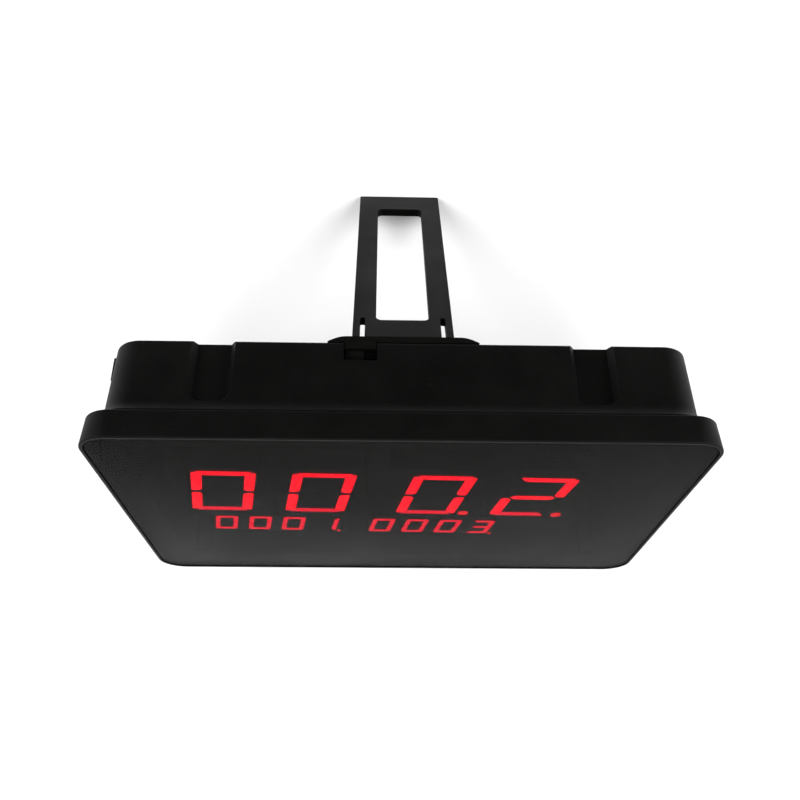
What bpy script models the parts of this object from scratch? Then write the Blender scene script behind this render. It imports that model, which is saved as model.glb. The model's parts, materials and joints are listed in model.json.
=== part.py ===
"""Gym round timer: a shallow wall or floor display case with a folding stand leg.

The case is modelled upright in its own frame: X to the right, Y to the rear, Z up, with the origin
at the centre of the front face. The case frame is then leaned back until the lower rear edge and
the foot of the open stand leg touch the floor. All sizes are in metres.
"""

from math import asin, atan2, cos, hypot, pi, radians, sin, tan

import bmesh
import bpy
from mathutils import Matrix, Vector

# Overall sizes
face_width = 0.204
face_height = 0.1326
case_depth = 0.0385
gap = 0.0003

# Front bezel
flange_depth = 0.0101
flange_draft = radians(3.4)
face_corner_radius = 0.0105
bezel_edge_round = 0.0006
rim_width = 0.0013
shelf_width = 0.0110
shelf_thickness = 0.0020
spigot_thickness = 0.0015
spigot_length = 0.0038
least_corner_radius = 0.0008

# Display lens
lens_setback = 0.0003
lens_thickness = 0.0020
lens_bevel = 0.0002

# Rear housing
body_inset = 0.0046
body_draft = radians(2.1)
body_corner_radius = 0.0104
lip_thickness = 0.0005
cove_depth = 0.0055
cove_rise = 0.0030
rear_edge_round = 0.0010
wall = 0.0022

# Grooves in the top wall
groove_centre = 0.0629
groove_floor_width = 0.0110
groove_depth = 0.0028
groove_side_run = 0.0018
groove_start = 0.0151
groove_front_radius = 0.0022
groove_cutter_rise = 0.0010
groove_run_out = 0.0040

# Stand
open_angle = radians(65)
leg_length = 0.1218
leg_width = 0.0349
leg_thickness = 0.0032
leg_tip_radius = 0.0008
foot_cut = 0.0009
window_width = 0.0188
window_start = 0.0160
window_end = 0.1085
window_radius = 0.0021
ear_width = 0.0025
ear_slot_width = 0.0017
ear_slot_end = 0.0175
ear_slot_radius = 0.0006
pin_radius = 0.00125
pin_length = 0.0020
pivot_behind_wall = 0.0002
pivot_below_wall = 0.00061
hinge_clearance = 0.00035

# Stand bracket
bracket_base_width = 0.0509
bracket_rear_width = 0.0424
bracket_depth = 0.0026
bracket_drop = 0.0005
bracket_height = 0.0134
bracket_block_depth = 0.0045
bracket_block_width = 0.0420
bracket_opening_height = 0.0100
tongue_centre = -0.01435
tongue_width = 0.0105
tongue_reach = 0.0026
tongue_thickness = 0.0019
latch_pit_length = 0.0045
hook_reach = 0.0028
hook_drop = 0.0016
hook_thickness = 0.0009
hook_overlap = 0.0008
hook_width = 0.0060

# Case screws and board posts
case_screw_inset_x = 0.0190
case_screw_inset_z = 0.0120
post_radius = 0.0034
post_length = 0.0174
well_radius = 0.0043
well_bore = 0.0031
well_floor = 0.0080
screw_radius = 0.00125
screw_head_radius = 0.0026
screw_head_height = 0.0018
screw_slot_width = 0.0007
screw_slot_depth = 0.0009
case_screw_length = 0.0180
board_screw_length = 0.0100
board_post_radius = 0.0030
board_post_inset = 0.0100

# Display modules
large_digit_size = (0.0345, 0.0107, 0.0460)
large_digit_centres = (-0.0654, -0.0297, 0.0133, 0.0499)
large_digit_level = 0.0053
small_digits_size = (0.0526, 0.0080, 0.0190)
small_digits_centres = (-0.0488, 0.0138)
small_digits_level = -0.0278
header_size = (0.0480, 0.0024, 0.0120)
display_gap = 0.0043
module_bevel = 0.0004

# Main board
board_left_inset = 0.0170
board_right_inset = 0.0250
board_thickness = 0.0016
board_height = 0.0960
board_level = -0.0010

# Components on the rear of the board: place across the board, then size
controller_chip = ((0.0060, 0.0080), (0.0350, 0.0040, 0.0100))
driver_chip_left = ((-0.0420, -0.0260), (0.0180, 0.0026, 0.0105))
driver_chip_right = ((0.0060, -0.0260), (0.0180, 0.0026, 0.0105))
voltage_regulator = ((-0.0560, 0.0020), (0.0100, 0.0045, 0.0150))
crystal = ((-0.0220, 0.0080), (0.0045, 0.0035, 0.0110))
chip_bevel = 0.0003
capacitor_place = (-0.0560, 0.0240)
capacitor_radius = 0.0040
capacitor_height = 0.0115

# Remote-control receiver beside the display
receiver_offset = 0.0042
receiver_setback = 0.0016
receiver_width = 0.0060
receiver_height = 0.0070
receiver_dome_depth = 0.0020
receiver_dome_radius = 0.0026
receiver_tip_radius = 0.0016

# Power switch and inlet
switch_level = 0.0460
switch_rear_gap = 0.00035
switch_body_length = 0.0071
switch_body_height = 0.0096
switch_depth = 0.0098
switch_flange = 0.0008
switch_wall = 0.0007
switch_well_depth = 0.0045
terminal_size = (0.0040, 0.0008, 0.0020)
terminal_overlap = 0.0005
terminal_offset = 0.0020
rocker_tilt = radians(12)
rocker_pivot_depth = 0.0020
rocker_crest = 0.0032
rocker_dish = 0.0007
rocker_root = 0.0010
rocker_root_share = 0.6
rocker_steps = 8
jack_level = 0.0240
jack_size = (0.0140, 0.0092, 0.0090)
jack_barrel_radius = 0.0037
jack_bore_radius = 0.0028
jack_bore_depth = 0.0090
jack_pin_radius = 0.0010
jack_pin_setback = 0.0015

# Internal leads: bends measured from the start, then bends measured from the end
lead_radius = 0.0006
lead_end_gap = 0.0009
lead_board_gap = 0.0003
jack_to_switch_bends = (
    ((0.0019, 0.0025, 0.0030),),
    ((0.0022, -0.0050, -0.0100), (0.0030, -0.0010, -0.0035)),
)
switch_to_board_bends = (
    ((0.0060, 0, 0.0008), (0.0140, -0.0060, -0.0030)),
    ((0, 0.0057, 0.0005),),
)
jack_to_board_bends = (((0.0041, 0, -0.0005),), ((-0.0005, 0.0027, 0),))
jack_lead_spacing = 0.0030
switch_lead_landing = (0.0170, -0.0085)
jack_lead_landing = (0.0105, -0.0040)

# Buzzer and its sound holes
buzzer_place = (0.0450, -0.0200)
buzzer_radius = 0.0115
buzzer_height = 0.0095
buzzer_port_radius = 0.0015
buzzer_port_depth = 0.0020
sound_hole_radius = 0.0011
sound_ring_radius = 0.0052
sound_ring_holes = 6

# Finishes: colour, roughness, metallic
case_finish = ((0.010, 0.010, 0.009), 0.50, 0.0)
stand_finish = ((0.010, 0.010, 0.010), 0.48, 0.0)
lens_finish = ((0.030, 0.028, 0.028), 0.30, 0.0)
module_finish = ((0.020, 0.020, 0.021), 0.55, 0.0)
board_finish = ((0.006, 0.022, 0.012), 0.45, 0.0)
chip_finish = ((0.015, 0.015, 0.016), 0.50, 0.0)
can_finish = ((0.600, 0.600, 0.610), 0.35, 1.0)
sleeve_finish = ((0.020, 0.022, 0.060), 0.35, 0.0)
receiver_finish = ((0.030, 0.012, 0.012), 0.25, 0.0)
switch_finish = ((0.014, 0.014, 0.014), 0.38, 0.0)
red_lead_finish = ((0.350, 0.010, 0.010), 0.40, 0.0)
black_lead_finish = ((0.010, 0.010, 0.010), 0.40, 0.0)
screw_finish = ((0.450, 0.450, 0.460), 0.35, 1.0)
smooth_angle = radians(35)
bevel_angle = radians(40)

# Fineness of the curves
corner_steps = 8
edge_steps = 4
cove_steps = 6
small_sides = 12
post_sides = 16
head_sides = 20
round_sides = 24

# Planes and places that follow from the sizes
housing_front = flange_depth + gap
body_start = housing_front + lip_thickness + cove_depth
spigot_end = flange_depth + spigot_length
lens_back = lens_setback + lens_thickness
shelf_front = lens_back + gap
shelf_back = shelf_front + shelf_thickness
display_front = lens_back + display_gap
board_size = (face_width - board_left_inset - board_right_inset, board_thickness, board_height)
board_centre = ((board_left_inset - board_right_inset) / 2, board_level)
board_front = display_front + large_digit_size[1] + gap
board_back = board_front + board_size[1]
part_seat = board_back + gap
rear_inner = case_depth - wall
switch_y = rear_inner - switch_rear_gap - switch_body_length / 2
pivot_y = case_depth + pivot_behind_wall


def body_inset_at(y):
    """Inset of the drafted body wall from the outline of the face."""
    return body_inset + (y - body_start) * tan(body_draft)


def body_top(y):
    """Height of the body's top wall."""
    return face_height / 2 - body_inset_at(y)


def body_side(y):
    """Distance of the body's side wall from the middle."""
    return face_width / 2 - body_inset_at(y)


pivot_z = body_top(case_depth) - wall - leg_thickness / 2 - pivot_below_wall
leg_slope = pi / 2 - open_angle
leg_direction = Vector((0, cos(leg_slope), -sin(leg_slope)))
leg_normal = Vector((0, sin(leg_slope), cos(leg_slope)))


def lean_angle():
    """Lean that lets the rounded lower rear edge and the foot of the leg share one floor plane."""
    edge_y = case_depth - rear_edge_round
    edge_z = -body_top(case_depth - rear_edge_round) + rear_edge_round
    foot = (
        Vector((0, pivot_y, pivot_z))
        + leg_direction * (leg_length - foot_cut)
        - leg_normal * leg_thickness / 2
    )
    rise = foot.z - edge_z
    run = foot.y - edge_y
    return atan2(rise, run) + asin(rear_edge_round / hypot(rise, run))


lean = lean_angle()

# Scene set-up

for old in list(bpy.data.objects):
    bpy.data.objects.remove(old, do_unlink=True)

timer = bpy.data.collections.new("gym_round_timer")
cutters = bpy.data.collections.new("cutters")
bpy.context.scene.collection.children.link(timer)
bpy.context.scene.collection.children.link(cutters)

case_frame = bpy.data.objects.new("case_frame", None)
case_frame.rotation_euler = (-lean, 0, 0)
timer.objects.link(case_frame)


def add_empty(name, location, rotation=(0, 0, 0)):
    """Empty on a joint's axis, carried by the case frame."""
    empty = bpy.data.objects.new(name, None)
    empty.location = location
    empty.rotation_euler = rotation
    empty.parent = case_frame
    timer.objects.link(empty)
    return empty


stand_hinge = add_empty("stand_hinge", (0, pivot_y, pivot_z), (-leg_slope, 0, 0))


def make_material(name, look):
    """Principled material of one sub-part."""
    colour, roughness, metallic = look
    material = bpy.data.materials.new(name)
    material.use_nodes = True
    shader = material.node_tree.nodes["Principled BSDF"]
    shader.inputs["Base Color"].default_value = (*colour, 1.0)
    shader.inputs["Roughness"].default_value = roughness
    shader.inputs["Metallic"].default_value = metallic
    material.diffuse_color = (*colour, 1.0)
    return material


def finish(shape, name, look):
    """Names a finished sub-part and gives it its own material."""
    shape.name = name
    shape.data.name = name
    shape.data.materials.clear()
    shape.data.materials.append(make_material(name, look))
    shape.data.shade_smooth()
    shape.data.set_sharp_from_angle(angle=smooth_angle)
    return shape


# Shape tools


def add_mesh(bm, parent=case_frame):
    """Mesh object from a bmesh, in the frame of its parent."""
    mesh = bpy.data.meshes.new("shape")
    bm.to_mesh(mesh)
    bm.free()
    shape = bpy.data.objects.new("shape", mesh)
    shape.parent = parent
    timer.objects.link(shape)
    return shape


def box(low, high, parent=case_frame):
    """Box between two corners."""
    low = Vector(low)
    high = Vector(high)
    bm = bmesh.new()
    bmesh.ops.create_cube(bm, size=1.0)
    bmesh.ops.scale(bm, vec=high - low, verts=bm.verts)
    bmesh.ops.translate(bm, vec=(low + high) / 2, verts=bm.verts)
    return add_mesh(bm, parent)


def block(centre, size, parent=case_frame):
    """Box about a centre."""
    centre = Vector(centre)
    half = Vector(size) / 2
    return box(centre - half, centre + half, parent)


def rod(start, end, radius, sides=round_sides, end_radius=None, parent=case_frame):
    """Cylinder or cone between two points."""
    start = Vector(start)
    end = Vector(end)
    axis = end - start
    bm = bmesh.new()
    bmesh.ops.create_cone(
        bm,
        cap_ends=True,
        segments=sides,
        radius1=radius,
        radius2=radius if end_radius is None else end_radius,
        depth=axis.length,
    )
    turn = Vector((0, 0, 1)).rotation_difference(axis).to_matrix().to_4x4()
    bmesh.ops.transform(bm, matrix=Matrix.Translation((start + end) / 2) @ turn, verts=bm.verts)
    return add_mesh(bm, parent)


def loft(rings, closed=False, parent=case_frame):
    """Skin over rings that have the same number of points; open lofts get end caps."""
    bm = bmesh.new()
    loops = [[bm.verts.new(point) for point in ring] for ring in rings]
    pairs = list(zip(loops, loops[1:]))
    if closed:
        pairs.append((loops[-1], loops[0]))
    for near, far in pairs:
        for index in range(len(near)):
            after = (index + 1) % len(near)
            bm.faces.new((near[index], near[after], far[after], far[index]))
    if not closed:
        bm.faces.new(loops[0])
        bm.faces.new(loops[-1])
    bmesh.ops.recalc_face_normals(bm, faces=bm.faces)
    return add_mesh(bm, parent)


def plate(outline, thickness, matrix, parent=case_frame):
    """Flat plate from an outline, centred on its own plane and then placed by a matrix."""
    curve = bpy.data.curves.new("outline", "CURVE")
    curve.dimensions = "2D"
    curve.fill_mode = "BOTH"
    curve.extrude = thickness / 2
    spline = curve.splines.new("POLY")
    spline.points.add(len(outline) - 1)
    for point, (along, across) in zip(spline.points, outline):
        point.co = (along, across, 0, 1)
    spline.use_cyclic_u = True
    guide = bpy.data.objects.new("outline", curve)
    timer.objects.link(guide)
    depsgraph = bpy.context.evaluated_depsgraph_get()
    mesh = bpy.data.meshes.new_from_object(guide.evaluated_get(depsgraph))
    bpy.data.objects.remove(guide, do_unlink=True)
    bm = bmesh.new()
    bm.from_mesh(mesh)
    bmesh.ops.remove_doubles(bm, verts=bm.verts, dist=0.000001)
    bmesh.ops.transform(bm, matrix=matrix, verts=bm.verts)
    bmesh.ops.recalc_face_normals(bm, faces=bm.faces)
    return add_mesh(bm, parent)


def combine(target, tools, operation):
    """Adds tools to a shape (UNION) or cuts them from it (DIFFERENCE)."""
    for tool in tools:
        timer.objects.unlink(tool)
        cutters.objects.link(tool)
        tool.hide_render = True
        tool.display_type = "WIRE"
        modifier = target.modifiers.new(operation.lower(), "BOOLEAN")
        modifier.operation = operation
        modifier.solver = "EXACT"
        modifier.object = tool


def join(target, *tools):
    combine(target, tools, "UNION")


def cut(target, *tools):
    combine(target, tools, "DIFFERENCE")


def soften(shape, width):
    """Bevelled edges on a plain shape."""
    bevel = shape.modifiers.new("soft_edges", "BEVEL")
    bevel.width = width
    bevel.segments = 1
    bevel.limit_method = "ANGLE"
    bevel.angle_limit = bevel_angle


def rounded_ring(width, height, radius, y, steps=corner_steps):
    """Rounded rectangle across the case at depth y."""
    ring = []
    for corner, (side, level) in enumerate(((1, 1), (-1, 1), (-1, -1), (1, -1))):
        centre_x = side * (width / 2 - radius)
        centre_z = level * (height / 2 - radius)
        for step in range(steps + 1):
            angle = pi / 2 * (corner + step / steps)
            ring.append(Vector((centre_x + radius * cos(angle), y, centre_z + radius * sin(angle))))
    return ring


def face_ring(inset, y, corner_radius=face_corner_radius):
    """Ring inset from the outline of the face."""
    radius = max(corner_radius - inset, least_corner_radius)
    return rounded_ring(face_width - 2 * inset, face_height - 2 * inset, radius, y)


def body_ring(inset, y):
    """Ring inset from the outline of the face, with the body's own corners."""
    return face_ring(inset, y, body_corner_radius + body_inset)


def quarter(steps=edge_steps):
    """Angles of a quarter turn."""
    return [pi / 2 * step / steps for step in range(steps + 1)]


def rounded_outline(width, start, end, radius, steps=edge_steps):
    """Rounded rectangle about the second axis, from start to end along it."""
    middle = (start + end) / 2
    ring = rounded_ring(width, end - start, radius, 0, steps)
    return [(point.x, point.z + middle) for point in ring]


def screw_places(width, height, inset_x, inset_z, centre=(0, 0)):
    """Four places near the corners of a rectangle."""
    half_x = width / 2 - inset_x
    half_z = height / 2 - inset_z
    return [
        (centre[0] + side * half_x, centre[1] + level * half_z)
        for side, level in ((-1, 1), (1, 1), (-1, -1), (1, -1))
    ]


case_screw_places = screw_places(face_width, face_height, case_screw_inset_x, case_screw_inset_z)
board_screw_places = screw_places(
    board_size[0], board_size[2], board_post_inset, board_post_inset, board_centre
)


# Front bezel and lens


def make_bezel():
    """Flange with a rim, a pocket and shelf for the lens, a spigot and four screw posts."""
    profile = []
    for angle in quarter():
        profile.append((bezel_edge_round * (1 - sin(angle)), bezel_edge_round * (1 - cos(angle))))
    rear_inset = flange_depth * tan(flange_draft)
    for angle in quarter():
        profile.append(
            (
                rear_inset + bezel_edge_round * (1 - cos(angle)),
                flange_depth - bezel_edge_round * (1 - sin(angle)),
            )
        )
    rings = [face_ring(inset, y) for inset, y in profile]
    spigot_outer = body_inset + wall + gap
    spigot_inner = spigot_outer + spigot_thickness
    rings.append(body_ring(spigot_outer, flange_depth))
    rings.append(body_ring(spigot_outer, spigot_end))
    rings.append(body_ring(spigot_inner, spigot_end))
    rings.append(body_ring(spigot_inner, shelf_back))
    rings.append(face_ring(rim_width + shelf_width, shelf_back))
    rings.append(face_ring(rim_width + shelf_width, shelf_front))
    rings.append(face_ring(rim_width, shelf_front))
    rings.append(face_ring(rim_width, 0))
    bezel = loft(rings, closed=True)
    post_top = shelf_back + post_length
    for x, z in case_screw_places:
        join(bezel, rod((x, shelf_back - shelf_thickness / 2, z), (x, post_top, z), post_radius))
        bore_start = (x, shelf_back + gap, z)
        cut(bezel, rod(bore_start, (x, post_top + gap, z), screw_radius + gap, small_sides))
    return finish(bezel, "front_bezel", case_finish)


def make_lens():
    """Smoked panel in the pocket of the bezel."""
    inset = rim_width + gap
    rings = [
        face_ring(inset + lens_bevel, lens_setback),
        face_ring(inset, lens_setback + lens_bevel),
        face_ring(inset, lens_back - lens_bevel),
        face_ring(inset + lens_bevel, lens_back),
    ]
    return finish(loft(rings), "display_lens", lens_finish)


# Rear housing


def make_housing_shell():
    """Tray with a cove at its lip, drafted walls and a rounded rear edge."""
    rings = [body_ring(body_inset_at(case_depth) + rear_edge_round, case_depth)]
    for angle in quarter()[1:]:
        y = case_depth - rear_edge_round * (1 - cos(angle))
        rings.append(body_ring(body_inset_at(y) + rear_edge_round * (1 - sin(angle)), y))
    for angle in reversed(quarter(cove_steps)):
        y = housing_front + lip_thickness + cove_depth * (1 - cos(angle))
        rings.append(body_ring(body_inset - cove_rise * (1 - sin(angle)), y))
    rings.append(body_ring(body_inset - cove_rise, housing_front))
    rings.append(body_ring(body_inset + wall, housing_front))
    rings.append(body_ring(body_inset + wall, body_start))
    rings.append(body_ring(body_inset_at(rear_inner) + wall, rear_inner))
    return loft(rings)


def groove_ring(half_width, front, radius, rise):
    """U-shaped outline that follows the drafted top wall and runs out past the rear."""
    points = []
    for side in (-1, 1):
        for angle in quarter() if side < 0 else reversed(quarter()):
            x = side * (half_width - radius * (1 - cos(angle)))
            y = front + radius * (1 - sin(angle))
            points.append((x, y))
    points.append((half_width, case_depth + groove_run_out))
    points.append((-half_width, case_depth + groove_run_out))
    return [Vector((x, y, body_top(y) + rise)) for x, y in points]


def make_groove(centre):
    """Cutter for a shallow groove with sloping sides."""
    floor_half = groove_floor_width / 2
    floor_front = groove_start + groove_side_run
    spread = groove_side_run * (groove_depth + groove_cutter_rise) / groove_depth
    floor = groove_ring(floor_half, floor_front, groove_front_radius, -groove_depth)
    top = groove_ring(
        floor_half + spread, floor_front - spread, groove_front_radius + spread, groove_cutter_rise
    )
    rings = [[point + Vector((centre, 0, 0)) for point in ring] for ring in (floor, top)]
    return loft(rings)


def make_housing():
    """Rear tray with its ribs, wells, posts, grooves and openings."""
    housing = make_housing_shell()
    rear_top = body_top(case_depth)
    groove_half = groove_floor_width / 2 + groove_side_run
    for side in (-1, 1):
        centre = side * groove_centre
        join(
            housing,
            box(
                (centre - groove_half - wall, spigot_end + 2 * gap, rear_top - groove_depth - wall),
                (centre + groove_half + wall, rear_inner + wall / 2, rear_top - wall / 2),
            ),
        )
    recess_half = leg_width / 2 + 2 * gap
    recess_depth = leg_thickness / 2 + hinge_clearance - pivot_behind_wall
    opening_top = rear_top - wall - gap
    opening_bottom = opening_top - bracket_opening_height
    join(
        housing,
        box(
            (-recess_half - wall, rear_inner - recess_depth, -rear_top + wall / 2),
            (recess_half + wall, rear_inner + wall / 2, opening_bottom - gap),
        ),
    )
    well_front = shelf_back + post_length + gap
    for x, z in case_screw_places:
        join(housing, rod((x, well_front, z), (x, rear_inner + wall / 2, z), well_radius))
        cut(housing, rod((x, well_front + well_floor, z), (x, case_depth + gap, z), well_bore))
        hole_start = (x, well_front - gap, z)
        cut(housing, rod(hole_start, (x, case_depth, z), screw_radius + gap, small_sides))
    for x, z in board_screw_places:
        post_start = (x, board_back + gap, z)
        join(housing, rod(post_start, (x, rear_inner + wall / 2, z), board_post_radius, post_sides))
        hole_end = (x, rear_inner - wall, z)
        cut(housing, rod((x, board_back, z), hole_end, screw_radius + gap, small_sides))
    for side in (-1, 1):
        cut(housing, make_groove(side * groove_centre))
    opening_half = bracket_block_width / 2 + gap
    cut(
        housing,
        box(
            (-opening_half, rear_inner - wall, opening_bottom),
            (opening_half, case_depth + wall, opening_top),
        ),
    )
    cut(
        housing,
        box(
            (-recess_half, case_depth - recess_depth, -face_height),
            (recess_half, case_depth + wall, opening_bottom + wall),
        ),
    )
    notch_half = tongue_width / 2 + gap
    notch_front = case_depth - tongue_reach - latch_pit_length
    cut(
        housing,
        box(
            (tongue_centre - notch_half, notch_front, opening_top - gap),
            (tongue_centre + notch_half, case_depth + wall, face_height / 2),
        ),
    )
    side_wall = body_side(case_depth)
    cut(
        housing,
        block(
            (-side_wall, switch_y, switch_level),
            (4 * wall, switch_body_length + 2 * gap, switch_body_height + 2 * gap),
        ),
    )
    jack_y = part_seat + jack_size[1] / 2
    cut(
        housing,
        rod(
            (-side_wall - 2 * wall, jack_y, jack_level),
            (-side_wall + 2 * wall, jack_y, jack_level),
            jack_barrel_radius + gap,
        ),
    )
    hole_places = [buzzer_place]
    for step in range(sound_ring_holes):
        angle = 2 * pi * step / sound_ring_holes
        hole_places.append(
            (
                buzzer_place[0] + sound_ring_radius * cos(angle),
                buzzer_place[1] + sound_ring_radius * sin(angle),
            )
        )
    for x, z in hole_places:
        hole_end = (x, case_depth + wall, z)
        cut(housing, rod((x, rear_inner - wall, z), hole_end, sound_hole_radius, small_sides))
    return finish(housing, "rear_housing", case_finish)


# Stand


def depth_plate(outline, x_low, x_high, parent=case_frame):
    """Plate from an outline in Y and Z, spanning x_low to x_high."""
    turn = Matrix(((0, 0, 1, (x_low + x_high) / 2), (1, 0, 0, 0), (0, 1, 0, 0), (0, 0, 0, 1)))
    return plate(outline, x_high - x_low, turn, parent)


def make_bracket():
    """Trapezoid cap, block through the rear wall, latch tongue and hinge sockets."""
    roof = body_top(case_depth)
    top = roof - bracket_drop
    front = case_depth + gap
    back = case_depth + bracket_depth
    outline = [
        (-bracket_base_width / 2, front),
        (bracket_base_width / 2, front),
        (bracket_base_width / 2, front + gap),
        (bracket_rear_width / 2, back),
        (-bracket_rear_width / 2, back),
        (-bracket_base_width / 2, front + gap),
    ]
    bracket = plate(outline, bracket_height, Matrix.Translation((0, 0, top - bracket_height / 2)))
    opening_top = roof - wall - gap
    block_half = bracket_block_width / 2
    block_front = case_depth - bracket_block_depth
    join(
        bracket,
        box(
            (-block_half, block_front, opening_top - bracket_opening_height + gap),
            (block_half, front + bracket_depth / 2, opening_top - gap),
        ),
    )
    tongue_front = case_depth - tongue_reach
    tongue_low = tongue_centre - tongue_width / 2
    tongue_bottom = roof - tongue_thickness
    tongue = [
        (tongue_front, body_top(tongue_front)),
        (tongue_front, body_top(tongue_front) - tongue_thickness),
        (front + gap, tongue_bottom),
        (front + gap, roof),
    ]
    join(bracket, depth_plate(tongue, tongue_low, tongue_low + tongue_width))
    hook_tip = tongue_front - hook_reach
    hook = [
        (tongue_front + hook_overlap, tongue_bottom + hook_overlap),
        (hook_tip, tongue_bottom - hook_drop),
        (hook_tip, tongue_bottom - hook_drop - hook_thickness),
        (tongue_front + hook_overlap, tongue_bottom - hook_thickness + gap),
    ]
    join(bracket, depth_plate(hook, tongue_low + gap, tongue_low + gap + hook_width))
    slot_half = leg_width / 2 + gap
    reach = leg_thickness / 2 + hinge_clearance
    pivot = Vector((0, pivot_y, pivot_z))
    above = pivot + leg_normal * reach
    beyond = above + leg_direction * bracket_height
    below = pivot_z - 1.5 * bracket_height
    sweep = [
        (above.y, above.z),
        (beyond.y, beyond.z),
        (beyond.y, below),
        (pivot_y - reach, below),
        (pivot_y - reach, pivot_z),
    ]
    cut(bracket, depth_plate(sweep, -slot_half, slot_half))
    cut(bracket, rod((-slot_half, pivot_y, pivot_z), (slot_half, pivot_y, pivot_z), reach))
    socket_end = leg_width / 2 + pin_length + gap
    socket_start = (-socket_end, pivot_y, pivot_z)
    cut(bracket, rod(socket_start, (socket_end, pivot_y, pivot_z), pin_radius + gap, post_sides))
    return finish(bracket, "stand_bracket", stand_finish)


def make_leg():
    """Window frame of a leg with two springy ears that carry the hinge pins."""
    flat = Matrix.Identity(4)
    outline = [(-leg_width / 2, 0), (leg_width / 2, 0)]
    tip = rounded_outline(leg_width, 0, leg_length, leg_tip_radius)
    outline += [point for point in tip if point[1] > leg_length / 2]
    leg = plate(outline, leg_thickness, flat, stand_hinge)
    half_width = leg_width / 2
    join(leg, rod((-half_width, 0, 0), (half_width, 0, 0), leg_thickness / 2, parent=stand_hinge))
    window = rounded_outline(window_width, window_start, window_end, window_radius)
    cut(leg, plate(window, 2 * leg_thickness, flat, stand_hinge))
    slot_centre = half_width - ear_width - ear_slot_width / 2
    for side in (-1, 1):
        slot = rounded_outline(ear_slot_width, -leg_thickness, ear_slot_end, ear_slot_radius)
        place = Matrix.Translation((side * slot_centre, 0, 0))
        cut(leg, plate(slot, 2 * leg_thickness, place, stand_hinge))
        join(
            leg,
            rod(
                (side * (half_width - ear_width / 2), 0, 0),
                (side * (half_width + pin_length), 0, 0),
                pin_radius,
                post_sides,
                parent=stand_hinge,
            ),
        )
    foot_plane = box(
        (-leg_width, -leg_length, -2 * leg_thickness),
        (leg_width, leg_length, 0),
        stand_hinge,
    )
    foot_plane.location = (0, leg_length - foot_cut, -leg_thickness / 2)
    foot_plane.rotation_euler = (leg_slope + lean, 0, 0)
    cut(leg, foot_plane)
    return finish(leg, "stand_leg", stand_finish)


# Display modules and board


def make_display():
    """Four large and two small LED modules, and the headers under the small ones."""
    for number, x in enumerate(large_digit_centres, 1):
        centre = (x, display_front + large_digit_size[1] / 2, large_digit_level)
        module = block(centre, large_digit_size)
        soften(module, module_bevel)
        finish(module, f"large_digit_{number}", module_finish)
    for side, x in zip(("left", "right"), small_digits_centres):
        centre = (x, display_front + small_digits_size[1] / 2, small_digits_level)
        module = block(centre, small_digits_size)
        soften(module, module_bevel)
        finish(module, f"small_digits_{side}", module_finish)
        header_y = board_front - gap - header_size[1] / 2
        header = block((x, header_y, small_digits_level), header_size)
        finish(header, f"header_{side}", chip_finish)


def make_board():
    """Circuit board with a clearance hole at each post."""
    centre_y = (board_front + board_back) / 2
    board = block((board_centre[0], centre_y, board_centre[1]), board_size)
    for x, z in board_screw_places:
        hole_start = (x, board_front - gap, z)
        cut(board, rod(hole_start, (x, board_back + gap, z), screw_radius + gap, small_sides))
    return finish(board, "main_board", board_finish)


def make_chip(name, place_and_size, look=chip_finish):
    """Block of a component standing on the rear of the board."""
    place, size = place_and_size
    chip = block((place[0], part_seat + size[1] / 2, place[1]), size)
    soften(chip, chip_bevel)
    return finish(chip, name, look)


def make_receiver():
    """Receiver on the front of the board, its dome just behind the lens."""
    front = display_front + receiver_setback
    back = board_front - gap
    shoulder = front + receiver_dome_depth
    x = large_digit_centres[-1] + large_digit_size[0] / 2 + receiver_offset
    z = small_digits_level
    half_width = receiver_width / 2
    half_height = receiver_height / 2
    receiver = box((x - half_width, shoulder, z - half_height), (x + half_width, back, z + half_height))
    dome_end = (x, shoulder + receiver_dome_depth, z)
    dome = rod((x, front, z), dome_end, receiver_tip_radius, post_sides, receiver_dome_radius)
    join(receiver, dome)
    return finish(receiver, "ir_receiver", receiver_finish)


def make_board_parts():
    """Components on the board."""
    make_chip("controller_chip", controller_chip)
    make_chip("driver_chip_left", driver_chip_left)
    make_chip("driver_chip_right", driver_chip_right)
    make_chip("voltage_regulator", voltage_regulator)
    make_chip("crystal", crystal, can_finish)
    x, z = capacitor_place
    capacitor = rod((x, part_seat, z), (x, part_seat + capacitor_height, z), capacitor_radius)
    finish(capacitor, "smoothing_capacitor", sleeve_finish)
    x, z = buzzer_place
    buzzer_top = part_seat + buzzer_height
    buzzer = rod((x, part_seat, z), (x, buzzer_top, z), buzzer_radius)
    port_floor = (x, buzzer_top - buzzer_port_depth, z)
    cut(buzzer, rod(port_floor, (x, buzzer_top + gap, z), buzzer_port_radius, post_sides))
    finish(buzzer, "buzzer", switch_finish)
    make_receiver()


# Power switch, inlet and leads


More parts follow.
